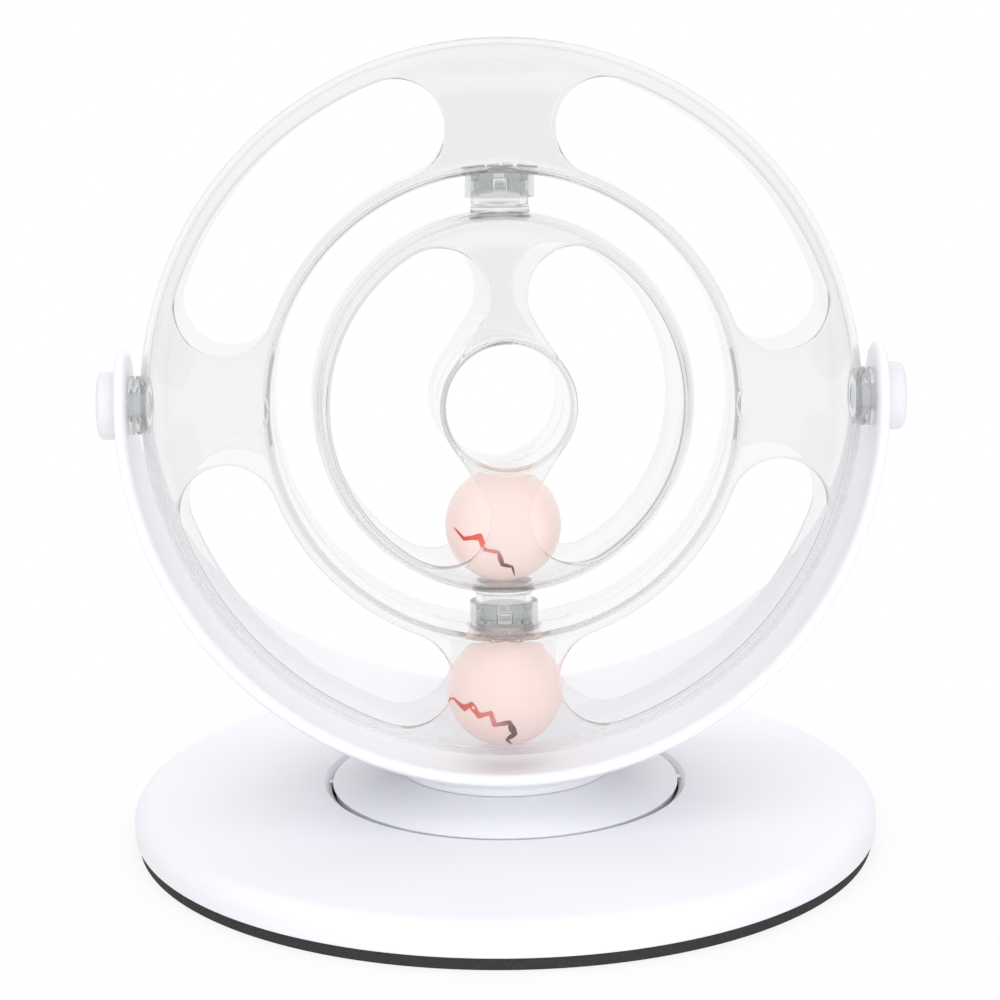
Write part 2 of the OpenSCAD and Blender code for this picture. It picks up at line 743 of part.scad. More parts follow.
module gearbox_shaft() {
    color(steel) translate([0, shaft_y, floor_top + gearbox_h / 3 + pass_gap])
        cylinder(r = shaft_r, h = gear_z + gear_h + 0.6 - floor_top - gearbox_h / 3 - pass_gap);
}

module drive_pinion() {
    color(nylon) translate([0, shaft_y, gear_z]) rotate(90 - 180 * (pinion_teeth + 1) / pinion_teeth)
        linear_extrude(gear_h) difference() {
            gear_outline(pinion_teeth);
            circle(shaft_r + seat_gap);
        }
}

module spindle_washer() {
    color(steel) translate([0, 0, spindle_top]) difference() {
        cylinder(r = washer_r, h = washer_t);
        translate([0, 0, -beyond]) cylinder(r = screw_r + 2 * seat_gap, h = washer_t + 2 * beyond);
    }
}

module spindle_screw() {
    color(steel) translate([0, 0, spindle_top + washer_t]) mirror([0, 0, 1])
        screw(screw_r - seat_gap, spindle_top + washer_t - floor_top - 1, screw_head_r, screw_head_h);
}

module spindle_bush() {
    color(brass) translate([0, 0, hub_z]) difference() {
        cylinder(r = spindle_bush_r, h = hub_top - hub_z);
        translate([0, 0, -beyond]) cylinder(r = spindle_r + run_gap, h = hub_top - hub_z + 2 * beyond);
    }
}

module turntable_disc() {
    profile = [
        [spindle_bush_r + seat_gap, hub_z], [hub_r, hub_z], [hub_r, plate_z], [foot_r, plate_z],
        [turntable_r - wall, rim_top + cone_slope * wall - wall], [turntable_r - wall, rim_z],
        [turntable_r, rim_z], [turntable_r, rim_top], [foot_r, foot_z], [access_r, foot_z],
        [access_r, hub_top], [spindle_bush_r + seat_gap, hub_top],
    ];
    color(white) difference() {
        union() {
            rotate_extrude($fn = 144) polygon(profile);
            for (s = [-1, 1]) translate([s * (turntable_r + nib_r / 3), 0, rim_top - nib_h])
                cylinder(r = nib_r, h = nib_h, $fn = 24);
        }
        spread(foot_screw_r, 4, 45) translate([0, 0, plate_z - beyond])
            cylinder(r = screw_r + seat_gap, h = wall + 2 * beyond);
    }
}

module turntable_gear() {
    color(nylon) translate([0, 0, gear_z]) linear_extrude(gear_h) difference() {
        rotate(90) gear_outline(gear_teeth);
        circle(hub_r + seat_gap);
    }
}

// Side view of the yoke: a round lug, and sides that widen from it in a smooth curve
function yoke_half_w(h) = norm([lug_r, h * tan(yoke_half_angle)]);
module yoke_side() {
    steps = 16;
    heights = [for (i = [1:steps]) yoke_r * i / steps];
    polygon(concat(
        arc(0, 0, lug_r, 0, 180, 24),
        [for (h = heights) [-yoke_half_w(h), -h]],
        [for (i = [steps - 1:-1:0]) [yoke_half_w(heights[i]), -heights[i]]]));
}

// The whole spherical shell, turned about the pivot line
module bowl_shell() {
    rotate([0, -90, 0]) rotate_extrude($fn = 144) intersection() {
        difference() {
            circle(yoke_r);
            circle(bowl_r);
        }
        translate([pivot_shaft_r + seat_gap, -yoke_r]) square(2 * yoke_r);
    }
}

// The round foot, which ends in the middle of the bowl's wall
module yoke_foot() {
    mid_r = bowl_r + yoke_t / 2;
    foot_angle = asin(foot_r / mid_r);
    rotate_extrude() polygon(concat(
        [[0, foot_z], [foot_r, foot_z]],
        arc(0, pivot_z, mid_r, -90 + foot_angle, -90)));
}

module yoke() {
    color(white) difference() {
        union() {
            translate([0, 0, pivot_z]) intersection() {
                bowl_shell();
                rotate([90, 0, 90]) linear_extrude(4 * yoke_r, center = true) yoke_side();
            }
            yoke_foot();
        }
        translate([-yoke_r, -yoke_r, foot_z - 2 * yoke_r]) cube(2 * yoke_r);
        for (s = [-1, 1]) translate([0, 0, pivot_z]) rotate([0, 90 * s, 0])
            translate([0, 0, lug_face_x]) cylinder(r = knob_r + pass_gap, h = yoke_t);
        spread(foot_screw_r, 4, 45) translate([0, 0, foot_z - beyond])
            cylinder(r = screw_r, h = yoke_floor_t + 2 * beyond);
    }
}

module yoke_screws() {
    color(steel) spread(foot_screw_r, 4, 45) translate([0, 0, plate_z])
        screw(screw_r - seat_gap, wall + yoke_floor_t + 0.6, screw_head_r, screw_head_h);
}

module left_pivot_knob() {
    color(white) rotate(180) pivot_knob();
}

module right_pivot_knob() {
    color(white) pivot_knob();
}

module left_pivot_bush() {
    color(clear) on_outer_ring() rotate(180) pivot_bush();
}

module right_pivot_bush() {
    color(clear) on_outer_ring() pivot_bush();
}

module outer_front_upper_right() {
    color(clear) on_outer_ring() outer_quarter(0);
}

module outer_front_upper_left() {
    color(clear) on_outer_ring() outer_quarter(90);
}

module outer_front_lower_left() {
    color(clear) on_outer_ring() outer_quarter(180);
}

module outer_front_lower_right() {
    color(clear) on_outer_ring() outer_quarter(270);
}

module outer_rear_upper_right() {
    color(clear) on_outer_ring() rear() outer_quarter(90);
}

module outer_rear_upper_left() {
    color(clear) on_outer_ring() rear() outer_quarter(0);
}

module outer_rear_lower_left() {
    color(clear) on_outer_ring() rear() outer_quarter(270);
}

module outer_rear_lower_right() {
    color(clear) on_outer_ring() rear() outer_quarter(180);
}

module upper_swivel_socket() {
    color(clear) on_outer_ring() swivel_socket();
}

module lower_swivel_socket() {
    color(clear) on_outer_ring() rotate([180, 0, 0]) swivel_socket();
}

module inner_front_right() {
    color(clear) on_inner_ring() inner_side(0);
}

module inner_front_left() {
    color(clear) on_inner_ring() inner_side(180);
}

module inner_rear_right() {
    color(clear) on_inner_ring() rear() inner_side(180);
}

module inner_rear_left() {
    color(clear) on_inner_ring() rear() inner_side(0);
}

module upper_swivel_pin() {
    color(clear) on_inner_ring() swivel_pin();
}

module lower_swivel_pin() {
    color(clear) on_inner_ring() rotate([180, 0, 0]) swivel_pin();
}

module outer_ball() {
    color(pink) on_outer_ring() translate([0, 0, -outer_track_r]) hollow_ball();
}

module inner_ball() {
    color(pink) on_inner_ring() translate([0, 0, -inner_track_r]) hollow_ball();
}

base_pad();
base_shell();
base_floor();
floor_screws();
battery_cells();
battery_contacts();
battery_door();
door_screw();
switch_body();
switch_slider();
wire_harness();
gearbox_case();
motor_can();
motor_clamp();
clamp_screws();
gearbox_shaft();
drive_pinion();
spindle_washer();
spindle_screw();
spindle_bush();
turntable_disc();
turntable_gear();
yoke();
yoke_screws();
left_pivot_knob();
right_pivot_knob();
left_pivot_bush();
right_pivot_bush();
outer_front_upper_right();
outer_front_upper_left();
outer_front_lower_left();
outer_front_lower_right();
outer_rear_upper_right();
outer_rear_upper_left();
outer_rear_lower_left();
outer_rear_lower_right();
upper_swivel_socket();
lower_swivel_socket();
inner_front_right();
inner_front_left();
inner_rear_right();
inner_rear_left();
upper_swivel_pin();
lower_swivel_pin();
outer_ball();
inner_ball();
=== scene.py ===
import json
import math

import bmesh
import bpy
import numpy as np
from mathutils import Matrix, Vector


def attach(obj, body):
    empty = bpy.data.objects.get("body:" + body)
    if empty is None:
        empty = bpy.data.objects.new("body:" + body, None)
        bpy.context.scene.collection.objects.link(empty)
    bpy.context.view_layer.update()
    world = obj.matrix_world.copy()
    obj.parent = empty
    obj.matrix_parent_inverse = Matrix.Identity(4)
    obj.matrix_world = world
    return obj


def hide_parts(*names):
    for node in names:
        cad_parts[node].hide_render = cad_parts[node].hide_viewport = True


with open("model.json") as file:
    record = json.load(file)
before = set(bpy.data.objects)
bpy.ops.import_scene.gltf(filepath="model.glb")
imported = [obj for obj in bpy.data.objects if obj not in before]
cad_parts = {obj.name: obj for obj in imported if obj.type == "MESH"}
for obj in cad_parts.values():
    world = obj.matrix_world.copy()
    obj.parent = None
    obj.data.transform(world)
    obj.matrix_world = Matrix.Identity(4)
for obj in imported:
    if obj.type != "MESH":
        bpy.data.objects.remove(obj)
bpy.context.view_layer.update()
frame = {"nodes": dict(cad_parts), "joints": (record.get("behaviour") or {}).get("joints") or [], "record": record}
mm = 0.001
joints = {j["name"]: j for j in frame["joints"]}
pivot = np.array(joints["outer_ring_tumble"]["pos_m"]) / mm  # middle of both rings, in mm
print("frame loaded,", len(frame["nodes"]), "nodes")


# mesh helpers, all in millimetres until a piece is made

# faces between neighbouring rows and columns of a grid that is numbered row by row
def gridFaces(rows, cols, closeRows=False, closeCols=True):
    i, j = np.meshgrid(np.arange(rows if closeRows else rows - 1),
                       np.arange(cols if closeCols else cols - 1), indexing="ij")
    below, beside = (i + 1) % rows, (j + 1) % cols
    quads = np.stack([i * cols + j, i * cols + beside, below * cols + beside, below * cols + j], -1)
    return quads.reshape(-1, 4)


# a path whose corners give way to arcs that touch both sides of the corner
def roundedPath(corners, radii, closed=True, steps=6):
    corners = np.asarray(corners, float)
    count = len(corners)
    path = []
    for k, radius in enumerate(radii):
        here = corners[k]
        if radius == 0 or (not closed and k in (0, count - 1)):
            path.append(here[None])
            continue
        back, ahead = corners[k - 1] - here, corners[(k + 1) % count] - here
        back, ahead = back / np.linalg.norm(back), ahead / np.linalg.norm(ahead)
        half = math.acos(np.clip(back @ ahead, -1, 1)) / 2
        middle = here + (back + ahead) / np.linalg.norm(back + ahead) * radius / math.sin(half)
        first, last = here + back * radius / math.tan(half), here + ahead * radius / math.tan(half)
        a0 = math.atan2(*(first - middle)[::-1])
        turn = (math.atan2(*(last - middle)[::-1]) - a0 + math.pi) % (2 * math.pi) - math.pi
        a = a0 + turn * np.linspace(0, 1, steps + 1)
        path.append(middle + radius * np.stack([np.cos(a), np.sin(a)], -1))
    return np.concatenate(path)


# a profile of radius and height carried once round the Z axis
def turned(profile, closed=True, steps=144):
    r, h = np.asarray(profile, float).T
    a = np.arange(steps) * 2 * np.pi / steps
    points = np.stack([np.outer(r, np.cos(a)), np.outer(r, np.sin(a)), np.outer(h, np.ones(steps))], -1)
    return points.reshape(-1, 3), gridFaces(len(r), steps, closeRows=closed)


# points spread evenly along a closed polyline, n of them from its first point
def evenly(path, n):
    ring = np.concatenate([path, path[:1]])
    run = np.concatenate([[0], np.cumsum(np.linalg.norm(np.diff(ring, axis=0), axis=1))])
    at = np.arange(n) * run[-1] / n
    return np.stack([np.interp(at, run, ring[:, k]) for k in range(ring.shape[1])], -1)


# points of an arc about a middle, from one angle to another, in degrees
def arc(middle, radius, a0, a1, n=60):
    a = np.radians(np.linspace(a0, a1, n))
    return np.asarray(middle) + radius * np.stack([np.cos(a), np.sin(a)], -1)


# a part's points through a placing matrix
def moved(part, matrix):
    points, faces = part
    return points @ np.asarray(matrix)[:3, :3].T + np.asarray(matrix)[:3, 3], faces


def turnAbout(axis, degrees):
    return np.asarray(Matrix.Rotation(math.radians(degrees), 4, axis))


def shiftBy(x, y, z):
    return np.asarray(Matrix.Translation((x, y, z)))


# joins the parts into one closed mesh in metres, and sets it on its body
def makePiece(name, parts, material, body, stands=(), sharp=32, weld=0.002):
    starts = np.cumsum([0] + [len(p) for p, _ in parts])
    points = np.concatenate([p for p, _ in parts]) * mm
    faces = [list(f) for (_, fs), s in zip(parts, starts) for f in (np.asarray(fs) + s)]
    mesh = bpy.data.meshes.new(name)
    mesh.from_pydata(points, [], faces)
    work = bmesh.new()
    work.from_mesh(mesh)
    bmesh.ops.remove_doubles(work, verts=work.verts, dist=weld * mm)
    bmesh.ops.dissolve_degenerate(work, edges=work.edges, dist=weld * mm * 0.1)
    bmesh.ops.recalc_face_normals(work, faces=work.faces)
    openEdges = sum(not e.is_manifold for e in work.edges)
    work.to_mesh(mesh)
    work.free()
    mesh.shade_smooth()
    mesh.set_sharp_from_angle(angle=math.radians(sharp))
    mesh.materials.append(material)
    piece = bpy.data.objects.new(name, mesh)
    bpy.context.scene.collection.objects.link(piece)
    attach(piece, body)
    if stands:
        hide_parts(*stands)
    print("made", name, len(mesh.polygons), "faces", openEdges, "open edges")
    return piece


# shader helpers

class Sock:
    # a socket in a node tree; sums and products with it add Math nodes
    def __init__(self, tree, socket):
        self.tree, self.socket = tree, socket

    def node(self, kind, settings=None, inputs=None, output=0):
        made = self.tree.nodes.new(kind)
        for key, value in (settings or {}).items():
            if key == "stops":
                while len(made.color_ramp.elements) < len(value):
                    made.color_ramp.elements.new(0.5)
                for element, (place, colour) in zip(made.color_ramp.elements, value):
                    element.position, element.color = place, (*colour, 1)
            else:
                setattr(made, key, value)
        for key, value in (inputs or {}).items():
            if isinstance(value, Sock):
                self.tree.links.new(value.socket, made.inputs[key])
            else:
                made.inputs[key].default_value = value
        return Sock(self.tree, made.outputs[output])

    def maths(self, operation, a, b):
        return self.node("ShaderNodeMath", {"operation": operation}, {0: a, 1: b})

    def __add__(self, other):
        return self.maths("ADD", self, other)

    def __radd__(self, other):
        return self.maths("ADD", other, self)

    def __sub__(self, other):
        return self.maths("SUBTRACT", self, other)

    def __rsub__(self, other):
        return self.maths("SUBTRACT", other, self)

    def __mul__(self, other):
        return self.maths("MULTIPLY", self, other)

    def __rmul__(self, other):
        return self.maths("MULTIPLY", other, self)

    def larger(self, other):
        return self.maths("MAXIMUM", self, other)

    def noise(self, scale, detail=3, rough=0.5):
        return self.node("ShaderNodeTexNoise", None,
                         {"Vector": self, "Scale": scale, "Detail": detail, "Roughness": rough})

    def blend(self, low, high):  # a colour between two, by this value
        return self.node("ShaderNodeMix", {"data_type": "RGBA"},
                         {0: self, 6: (*low, 1), 7: (*high, 1)}, 2)

    def bump(self, strength, distance):
        return self.node("ShaderNodeBump", None,
                         {"Height": self, "Strength": strength, "Distance": distance})


# a new material with its shader's plain values set, and its Object coordinates
def startMaterial(name, plain):
    material = bpy.data.materials.new(name)
    material.use_nodes = True
    tree = material.node_tree
    shader = tree.nodes["Principled BSDF"]
    for key, value in plain.items():
        shader.inputs[key].default_value = (*value, 1) if key == "Base Color" else value
    place = tree.nodes.new("ShaderNodeTexCoord")
    return material, shader, Sock(tree, place.outputs["Object"])


# links what changes over a surface into the shader
def feed(shader, **sockets):
    names = {"colour": "Base Color", "rough": "Roughness", "normal": "Normal"}
    for key, value in sockets.items():
        shader.id_data.links.new(value.socket, shader.inputs[names[key]])


# the knob share scales the knobs' copy of the white darker: painted shade on the knobs
whiteLook = {"pale": (0.905, 0.908, 0.925), "deep": (0.875, 0.878, 0.9), "mottle": 14, "rough": 0.3,
             "roughMore": 0.14, "roughScale": 60, "grain": 2600, "grainShown": 0.05, "grainDeep": 0.00002,
             "knobPaintedShade": 0.9}


# white moulding: broad faint mottling, a fine moulded grain, and roughness that wanders; share scales the colour,
# and below 1 it is painted shade
def whitePlastic(name, share):
    material, shader, place = startMaterial(name, {"IOR": 1.46, "Coat Weight": 0.08})
    look = whiteLook
    broad = place.noise(look["mottle"])
    grain = place.noise(look["grain"], 2)
    deep, pale = (tuple(share * c for c in look[k]) for k in ("deep", "pale"))
    feed(shader, colour=broad.blend(deep, pale),
         rough=look["rough"] + look["roughMore"] * place.noise(look["roughScale"]),
         normal=grain.bump(look["grainShown"], look["grainDeep"]))
    return material


# the fitting copy has a darker tint, body and density than the ring: painted shade for the grey of its internal
# reflections
clearLook = {"ring": {"tint": (0.947, 0.951, 0.949), "body": (0.62, 0.66, 0.65), "density": 5},
             "fitting": {"tint": (0.81, 0.82, 0.815), "body": (0.45, 0.47, 0.46), "density": 22},
             "rough": 0.01, "roughMore": 0.035, "roughScale": 90, "wave": 30, "waveShown": 0.04,
             "waveDeep": 0.0004, "ior": 1.49, "deep": 4, "bounced": 1, "dim": 0.82, "veil": 0.985}


# clear moulding: glass to the eye for the first few walls; past those a plain tint, dimmer for rays that were
# trapped inside a wall, and a thin veil to light that only passes through it
def clearPlastic(kind):
    look = clearLook[kind]
    material, shader, place = startMaterial(kind + "Clear", {
        "Base Color": look["tint"], "Transmission Weight": 1.0, "IOR": clearLook["ior"]})
    tree = material.node_tree
    feed(shader, rough=clearLook["rough"] + clearLook["roughMore"] * place.noise(clearLook["roughScale"]),
         normal=place.noise(clearLook["wave"]).bump(clearLook["waveShown"], clearLook["waveDeep"]))
    path = tree.nodes.new("ShaderNodeLightPath")
    depth, bounces = (Sock(tree, path.outputs[n]) for n in ("Ray Depth", "Glossy Depth"))
    deep = depth.maths("GREATER_THAN", depth, clearLook["deep"])
    trapped = deep * depth.maths("GREATER_THAN", bounces, clearLook["bounced"])
    passing = Sock(tree, path.outputs["Is Shadow Ray"]).larger(Sock(tree, path.outputs["Is Diffuse Ray"]))
    mixed = Sock(tree, shader.outputs[0])
    dim, veil = ((clearLook[k],) * 3 for k in ("dim", "veil"))
    for rays, left in ((deep, look["tint"]), (trapped, dim), (passing, veil)):
        through = place.node("ShaderNodeBsdfTransparent", None, {"Color": (*left, 1)})
        mixed = place.node("ShaderNodeMixShader", None, {0: rays, 1: mixed, 2: through})
    inside = place.node("ShaderNodeVolumeAbsorption", None,
                        {"Color": (*look["body"], 1), "Density": look["density"]})
    out = tree.nodes["Material Output"]
    tree.links.new(mixed.socket, out.inputs["Surface"])
    tree.links.new(inside.socket, out.inputs["Volume"])
    return material


foamLook = {"dark": (0.026, 0.026, 0.025), "light": (0.055, 0.055, 0.053), "cells": 1700, "coarse": 420,
            "cellTone": 0.6, "coarseTone": 0.4, "rough": 0.85, "roughMore": 0.12, "coarseRelief": 0.6,
            "cellShown": 0.6, "cellDeep": 0.00025}


# foam sheet: small closed cells of two sizes, nearly black
def foamSheet():
    material, shader, place = startMaterial("foamSheet", {"IOR": 1.4})
    look = foamLook
    cells = place.node("ShaderNodeTexVoronoi", None, {"Vector": place, "Scale": look["cells"]})
    coarse = place.noise(look["coarse"])
    tone = look["cellTone"] * cells + look["coarseTone"] * coarse
    relief = cells + look["coarseRelief"] * coarse
    feed(shader, colour=tone.blend(look["dark"], look["light"]),
         rough=look["rough"] + look["roughMore"] * coarse,
         normal=relief.bump(look["cellShown"], look["cellDeep"]))
    return material


ballLook = {"deep": (0.955, 0.72, 0.655), "pale": (0.965, 0.765, 0.705), "cloud": 70, "rough": 0.24,
            "roughMore": 0.12, "roughScale": 240, "skin": 900, "skinShown": 0.03, "skinDeep": 0.00003}


# pale ball: faint cloudiness in the moulding under a gloss
def paleBall():
    material, shader, place = startMaterial("paleBall", {
        "Subsurface Weight": 0.25, "Subsurface Radius": (0.006, 0.003, 0.002), "Subsurface Scale": 1.0,
        "Coat Weight": 0.35, "Coat Roughness": 0.08})
    look = ballLook
    cloud = place.noise(look["cloud"])
    feed(shader, colour=cloud.blend(look["deep"], look["pale"]),
         rough=look["rough"] + look["roughMore"] * place.noise(look["roughScale"]),
         normal=place.noise(look["skin"]).bump(look["skinShown"], look["skinDeep"]))
    return material


crackLook = {"speck": 1500, "wander": 0.1, "rough": 0.3, "roughMore": 0.2,
             "ink": [(0.0, (0.62, 0.05, 0.025)), (0.3, (0.78, 0.13, 0.09)), (0.55, (0.72, 0.25, 0.22)),
                     (0.75, (0.16, 0.075, 0.07)), (1.0, (0.09, 0.045, 0.042))]}


# printed crack: colour runs along the line from red through salmon to dark brown
def crackPrint():
    material, shader, place = startMaterial("crackPrint", {})
    run = place.node("ShaderNodeAttribute", {"attribute_name": "along"}, None, 2)
    speck = place.noise(crackLook["speck"], 2)
    wander = crackLook["wander"]
    ink = run.node("ShaderNodeValToRGB", {"stops": crackLook["ink"]}, {0: run + wander * speck - wander / 2})
    feed(shader, colour=ink, rough=crackLook["rough"] + crackLook["roughMore"] * speck)
    return material


# plain metals and mouldings inside the base: two tones by noise, with brushed or moulded grain
def plainFinish(name, low, high, rough, metal=0.0, grain=1200, stretch=(1, 1, 1)):
    material, shader, place = startMaterial(name, {"Metallic": metal})
    drawn = place.node("ShaderNodeMapping", None, {"Vector": place, "Scale": stretch})
    mottle = drawn.noise(grain * 0.1)
    feed(shader, colour=mottle.blend(low, high), rough=rough + 0.15 * drawn.noise(grain),
         normal=drawn.noise(grain).bump(0.1, 0.00003))
    return material


white = whitePlastic("whiteMoulding", 1.0)
# the knobs' copy is the same white made darker: painted shade for their sideways faces
knobPaintedShadeWhite = whitePlastic("knobMouldingPaintedShade", whiteLook["knobPaintedShade"])
clear = clearPlastic("ring")
# darker clear for collars, tabs and bushes: painted shade
clearFittingPaintedShade = clearPlastic("fitting")
foam = foamSheet()
pink = paleBall()
crack = crackPrint()
finishes = {
    "screw_steel": plainFinish("zincSteel", (0.5, 0.5, 0.53), (0.62, 0.62, 0.64), 0.28, 1.0),
    "motor_steel": plainFinish("drawnCan", (0.46, 0.47, 0.49), (0.6, 0.61, 0.63), 0.3, 1.0, 900, (0.2, 1, 1)),
    "cell_jacket": plainFinish("cellJacket", (0.06, 0.2, 0.1), (0.1, 0.3, 0.16), 0.35),
    "contact_brass": plainFinish("rolledBrass", (0.6, 0.44, 0.18), (0.72, 0.56, 0.28), 0.3, 1.0),
    "gear_nylon": plainFinish("naturalNylon", (0.78, 0.77, 0.7), (0.85, 0.84, 0.78), 0.5),
    "switch_plastic": plainFinish("blackMoulding", (0.018, 0.018, 0.019), (0.035, 0.035, 0.036), 0.45),
    "wire_cover": plainFinish("wireCover", (0.025, 0.025, 0.028), (0.045, 0.045, 0.05), 0.5),
    "white_plastic": white,
}
print("materials made")


# places: the outer ring leans back on the pivots, and the inner ring turns in the outer one
leanAxis = joints["inner_ring_spin"]["axis"]
lean = -math.degrees(math.atan2(leanAxis[1], leanAxis[2]))
ballAxis = Matrix.Rotation(math.radians(-lean), 3, "X") @ Vector(joints["inner_ball_roll"]["axis"])
yaw = math.degrees(math.atan2(-ballAxis.x, ballAxis.y))
onOuter = shiftBy(*pivot) @ turnAbout("X", lean)
onInner = onOuter @ turnAbout("Z", yaw)
print("outer ring leans", round(lean, 2), "inner ring turned", round(yaw, 2))


# ring sections

# half of a ring's section as a run of length, from the parting plane at the bore round to the one outside:
# radius, depth towards the front, and the direction that faces out of the plastic
def ringSection(ring):
    r0, r1, h, b, o = ring["bore"], ring["out"], ring["half"], ring["boreRound"], ring["outRound"]
    seam = ring["seam"]
    n, wide, bend = 80, 160, 400  # samples on the side walls, on the front and in each arc
    inArc, outArc = np.radians(np.linspace(180, 90, bend)), np.radians(np.linspace(90, 0, bend))
    pieces = [np.stack([np.full(n, r0), np.linspace(seam, h - b, n), np.full(n, np.pi)], -1),
              np.stack([r0 + b + b * np.cos(inArc), h - b + b * np.sin(inArc), inArc], -1)[1:],
              np.stack([np.linspace(r0 + b, r1 - o, wide), np.full(wide, h),
                        np.full(wide, np.pi / 2)], -1)[1:],
              np.stack([r1 - o + o * np.cos(outArc), h - o + o * np.sin(outArc), outArc], -1)[1:],
              np.stack([np.full(n, r1), np.linspace(h - o, seam, n), np.zeros(n)], -1)[1:]]
    r, d, face = np.concatenate(pieces).T
    run = np.concatenate([[0], np.cumsum(np.hypot(np.diff(r), np.diff(d)))])
    front = (run >= h - seam - b) & (run <= run[-1] - (h - seam - o))
    return {"run": run, "r": r, "d": d, "face": face, "frontR": r[front], "frontRun": run[front]}


# one cell of a windowed shell, in run and angle: lines go from the cell's edge in to the window over the
# outside, round the window's edge, and back out to the cell's edge over the inside
def windowedCell(lip, ends, span, scale, wall, edge, rows, place):
    run, a = lip.T
    mid = np.array([(run.min() + run.max()) / 2, sum(span) / 2])
    half = (span[1] - span[0]) / 2
    p = (run - mid[0]) / np.where(run > mid[0], ends[1] - mid[0], mid[0] - ends[0])
    q = (a - mid[1]) / half
    reach = np.maximum(abs(p), abs(q))
    p, q = p / reach, q / reach
    for cornerP in (-1, 1):
        for cornerQ in (-1, 1):
            nearest = np.argmin((p - cornerP) ** 2 + (q - cornerQ) ** 2)
            p[nearest], q[nearest] = cornerP, cornerQ
    rim = np.stack([mid[0] + p * np.where(p > 0, ends[1] - mid[0], mid[0] - ends[0]), mid[1] + q * half], -1)
    metric = np.stack([run, a * scale], -1)
    along = np.roll(lip, -1, 0) - np.roll(lip, 1, 0)
    along[:, 1] *= scale
    along /= np.linalg.norm(along, axis=1)[:, None]
    out = np.stack([along[:, 1], -along[:, 0]], -1)
    if np.sum(out * (metric - metric.mean(0))) < 0:
        out = -out
    step = np.stack([out[:, 0], out[:, 1] / scale], -1)  # one millimetre away from the window
    quarter = np.radians(np.linspace(0, 90, 6))
    bend = np.stack([edge * (1 - np.sin(quarter)), edge * (1 - np.cos(quarter))], -1)
    share = np.linspace(0, 1, rows)[:-1]
    inset = lip + step * edge
    outside = [(rim * (1 - f) + inset * f, 0.0) for f in share]
    round1 = [(lip + step * away, deep) for away, deep in bend]
    round2 = [(lip + step * away, wall - deep) for away, deep in bend[::-1]]
    inside = [(rim * (1 - f) + inset * f, wall) for f in share[::-1]]
    lines = outside + round1 + round2 + inside
    at = np.stack([l for l, _ in lines])
    points = place(at[..., 0], at[..., 1], np.array([w for _, w in lines])[:, None])
    n, count = len(lines), len(lip)
    faces = gridFaces(n, count)
    col, after = np.arange(count), (np.arange(count) + 1) % count
    for edgeRun in ends:  # close the wall at both ends of the run
        on = (abs(rim[col, 0] - edgeRun) < 1e-9) & (abs(rim[after, 0] - edgeRun) < 1e-9)
        c, d = col[on], after[on]
        last = (n - 1) * count
        faces = np.concatenate([faces, np.stack([c, d, last + d, last + c], -1)])
    return points.reshape(-1, 3), faces


outerRing = {"bore": 72.0, "out": 113.3, "half": 20.8, "boreRound": 3.0, "outRound": 17.0, "wall": 1.6,
             "seam": 0.04, "windowIn": 76.0, "windowOut": 107.3, "spoke": 20.8, "edge": 0.75}
innerRing = {"bore": 19.3, "out": 59.9, "half": 20.8, "boreRound": 3.0, "outRound": 12.0, "wall": 1.6,
             "seam": 0.04, "windowOut": 56.0, "lobe": 15.4, "lobeFrom": 32.0, "tubeGap": 0.25, "edge": 0.75}


# kidney window between two spokes: two arcs about the ring's middle, joined by half circles
def kidney(ring, n=168):
    a0, a1 = ring["spoke"], 90 - ring["spoke"]
    mid, lobe = (ring["windowIn"] + ring["windowOut"]) / 2, (ring["windowOut"] - ring["windowIn"]) / 2
    ends = [mid * np.array([math.cos(math.radians(a)), math.sin(math.radians(a))]) for a in (a0, a1)]
    path = np.concatenate([arc((0, 0), ring["windowOut"], 45, a1),
                           arc(ends[1], lobe, a1, a1 + 180)[1:],
                           arc((0, 0), ring["windowIn"], a1, a0)[1:],
                           arc(ends[0], lobe, a0 + 180, a0 + 360)[1:],
                           arc((0, 0), ring["windowOut"], a0, 45)[1:-1]])
    return evenly(path, n)


# window beside the hole: an outer arc, round ends, and slopes that run down to the hole's tube
def sideWindow(ring, n=232):
    tube = ring["bore"] + ring["wall"] + ring["tubeGap"]
    far = ring["windowOut"] - ring["lobe"]
    lobeA = 90 - ring["lobeFrom"]
    touchA = lobeA - math.degrees(math.acos((ring["lobe"] + tube) / far))
    end = far * np.array([math.cos(math.radians(lobeA)), math.sin(math.radians(lobeA))])
    upper = np.concatenate([arc((0, 0), ring["windowOut"], 0, lobeA),
                            arc(end, ring["lobe"], lobeA, touchA + 180)[1:],
                            arc((0, 0), tube, touchA, 0)])
    lower = (upper * (1, -1))[-2:0:-1]
    return evenly(np.concatenate([upper, lower]), n)


# half of a ring: one cell with its window, set round the ring's axis
def ringHalf(ring, outline, spans, rows):
    section = ringSection(ring)
    r = np.linalg.norm(outline, axis=1)
    lip = np.stack([np.interp(r, section["frontR"], section["frontRun"]), np.arctan2(*outline.T[::-1])], -1)

    def place(run, angle, deep):
        face = np.interp(run, section["run"], section["face"])
        radius = np.interp(run, section["run"], section["r"]) - deep * np.cos(face)
        depth = np.interp(run, section["run"], section["d"]) - deep * np.sin(face)
        return np.stack([radius * np.cos(angle), -depth, radius * np.sin(angle)], -1)

    cell = windowedCell(lip, (0, section["run"][-1]), np.radians(spans[0]), r, ring["wall"], ring["edge"],
                        rows, place)
    return [moved(cell, turnAbout("Y", -a)) for a in spans[1]]


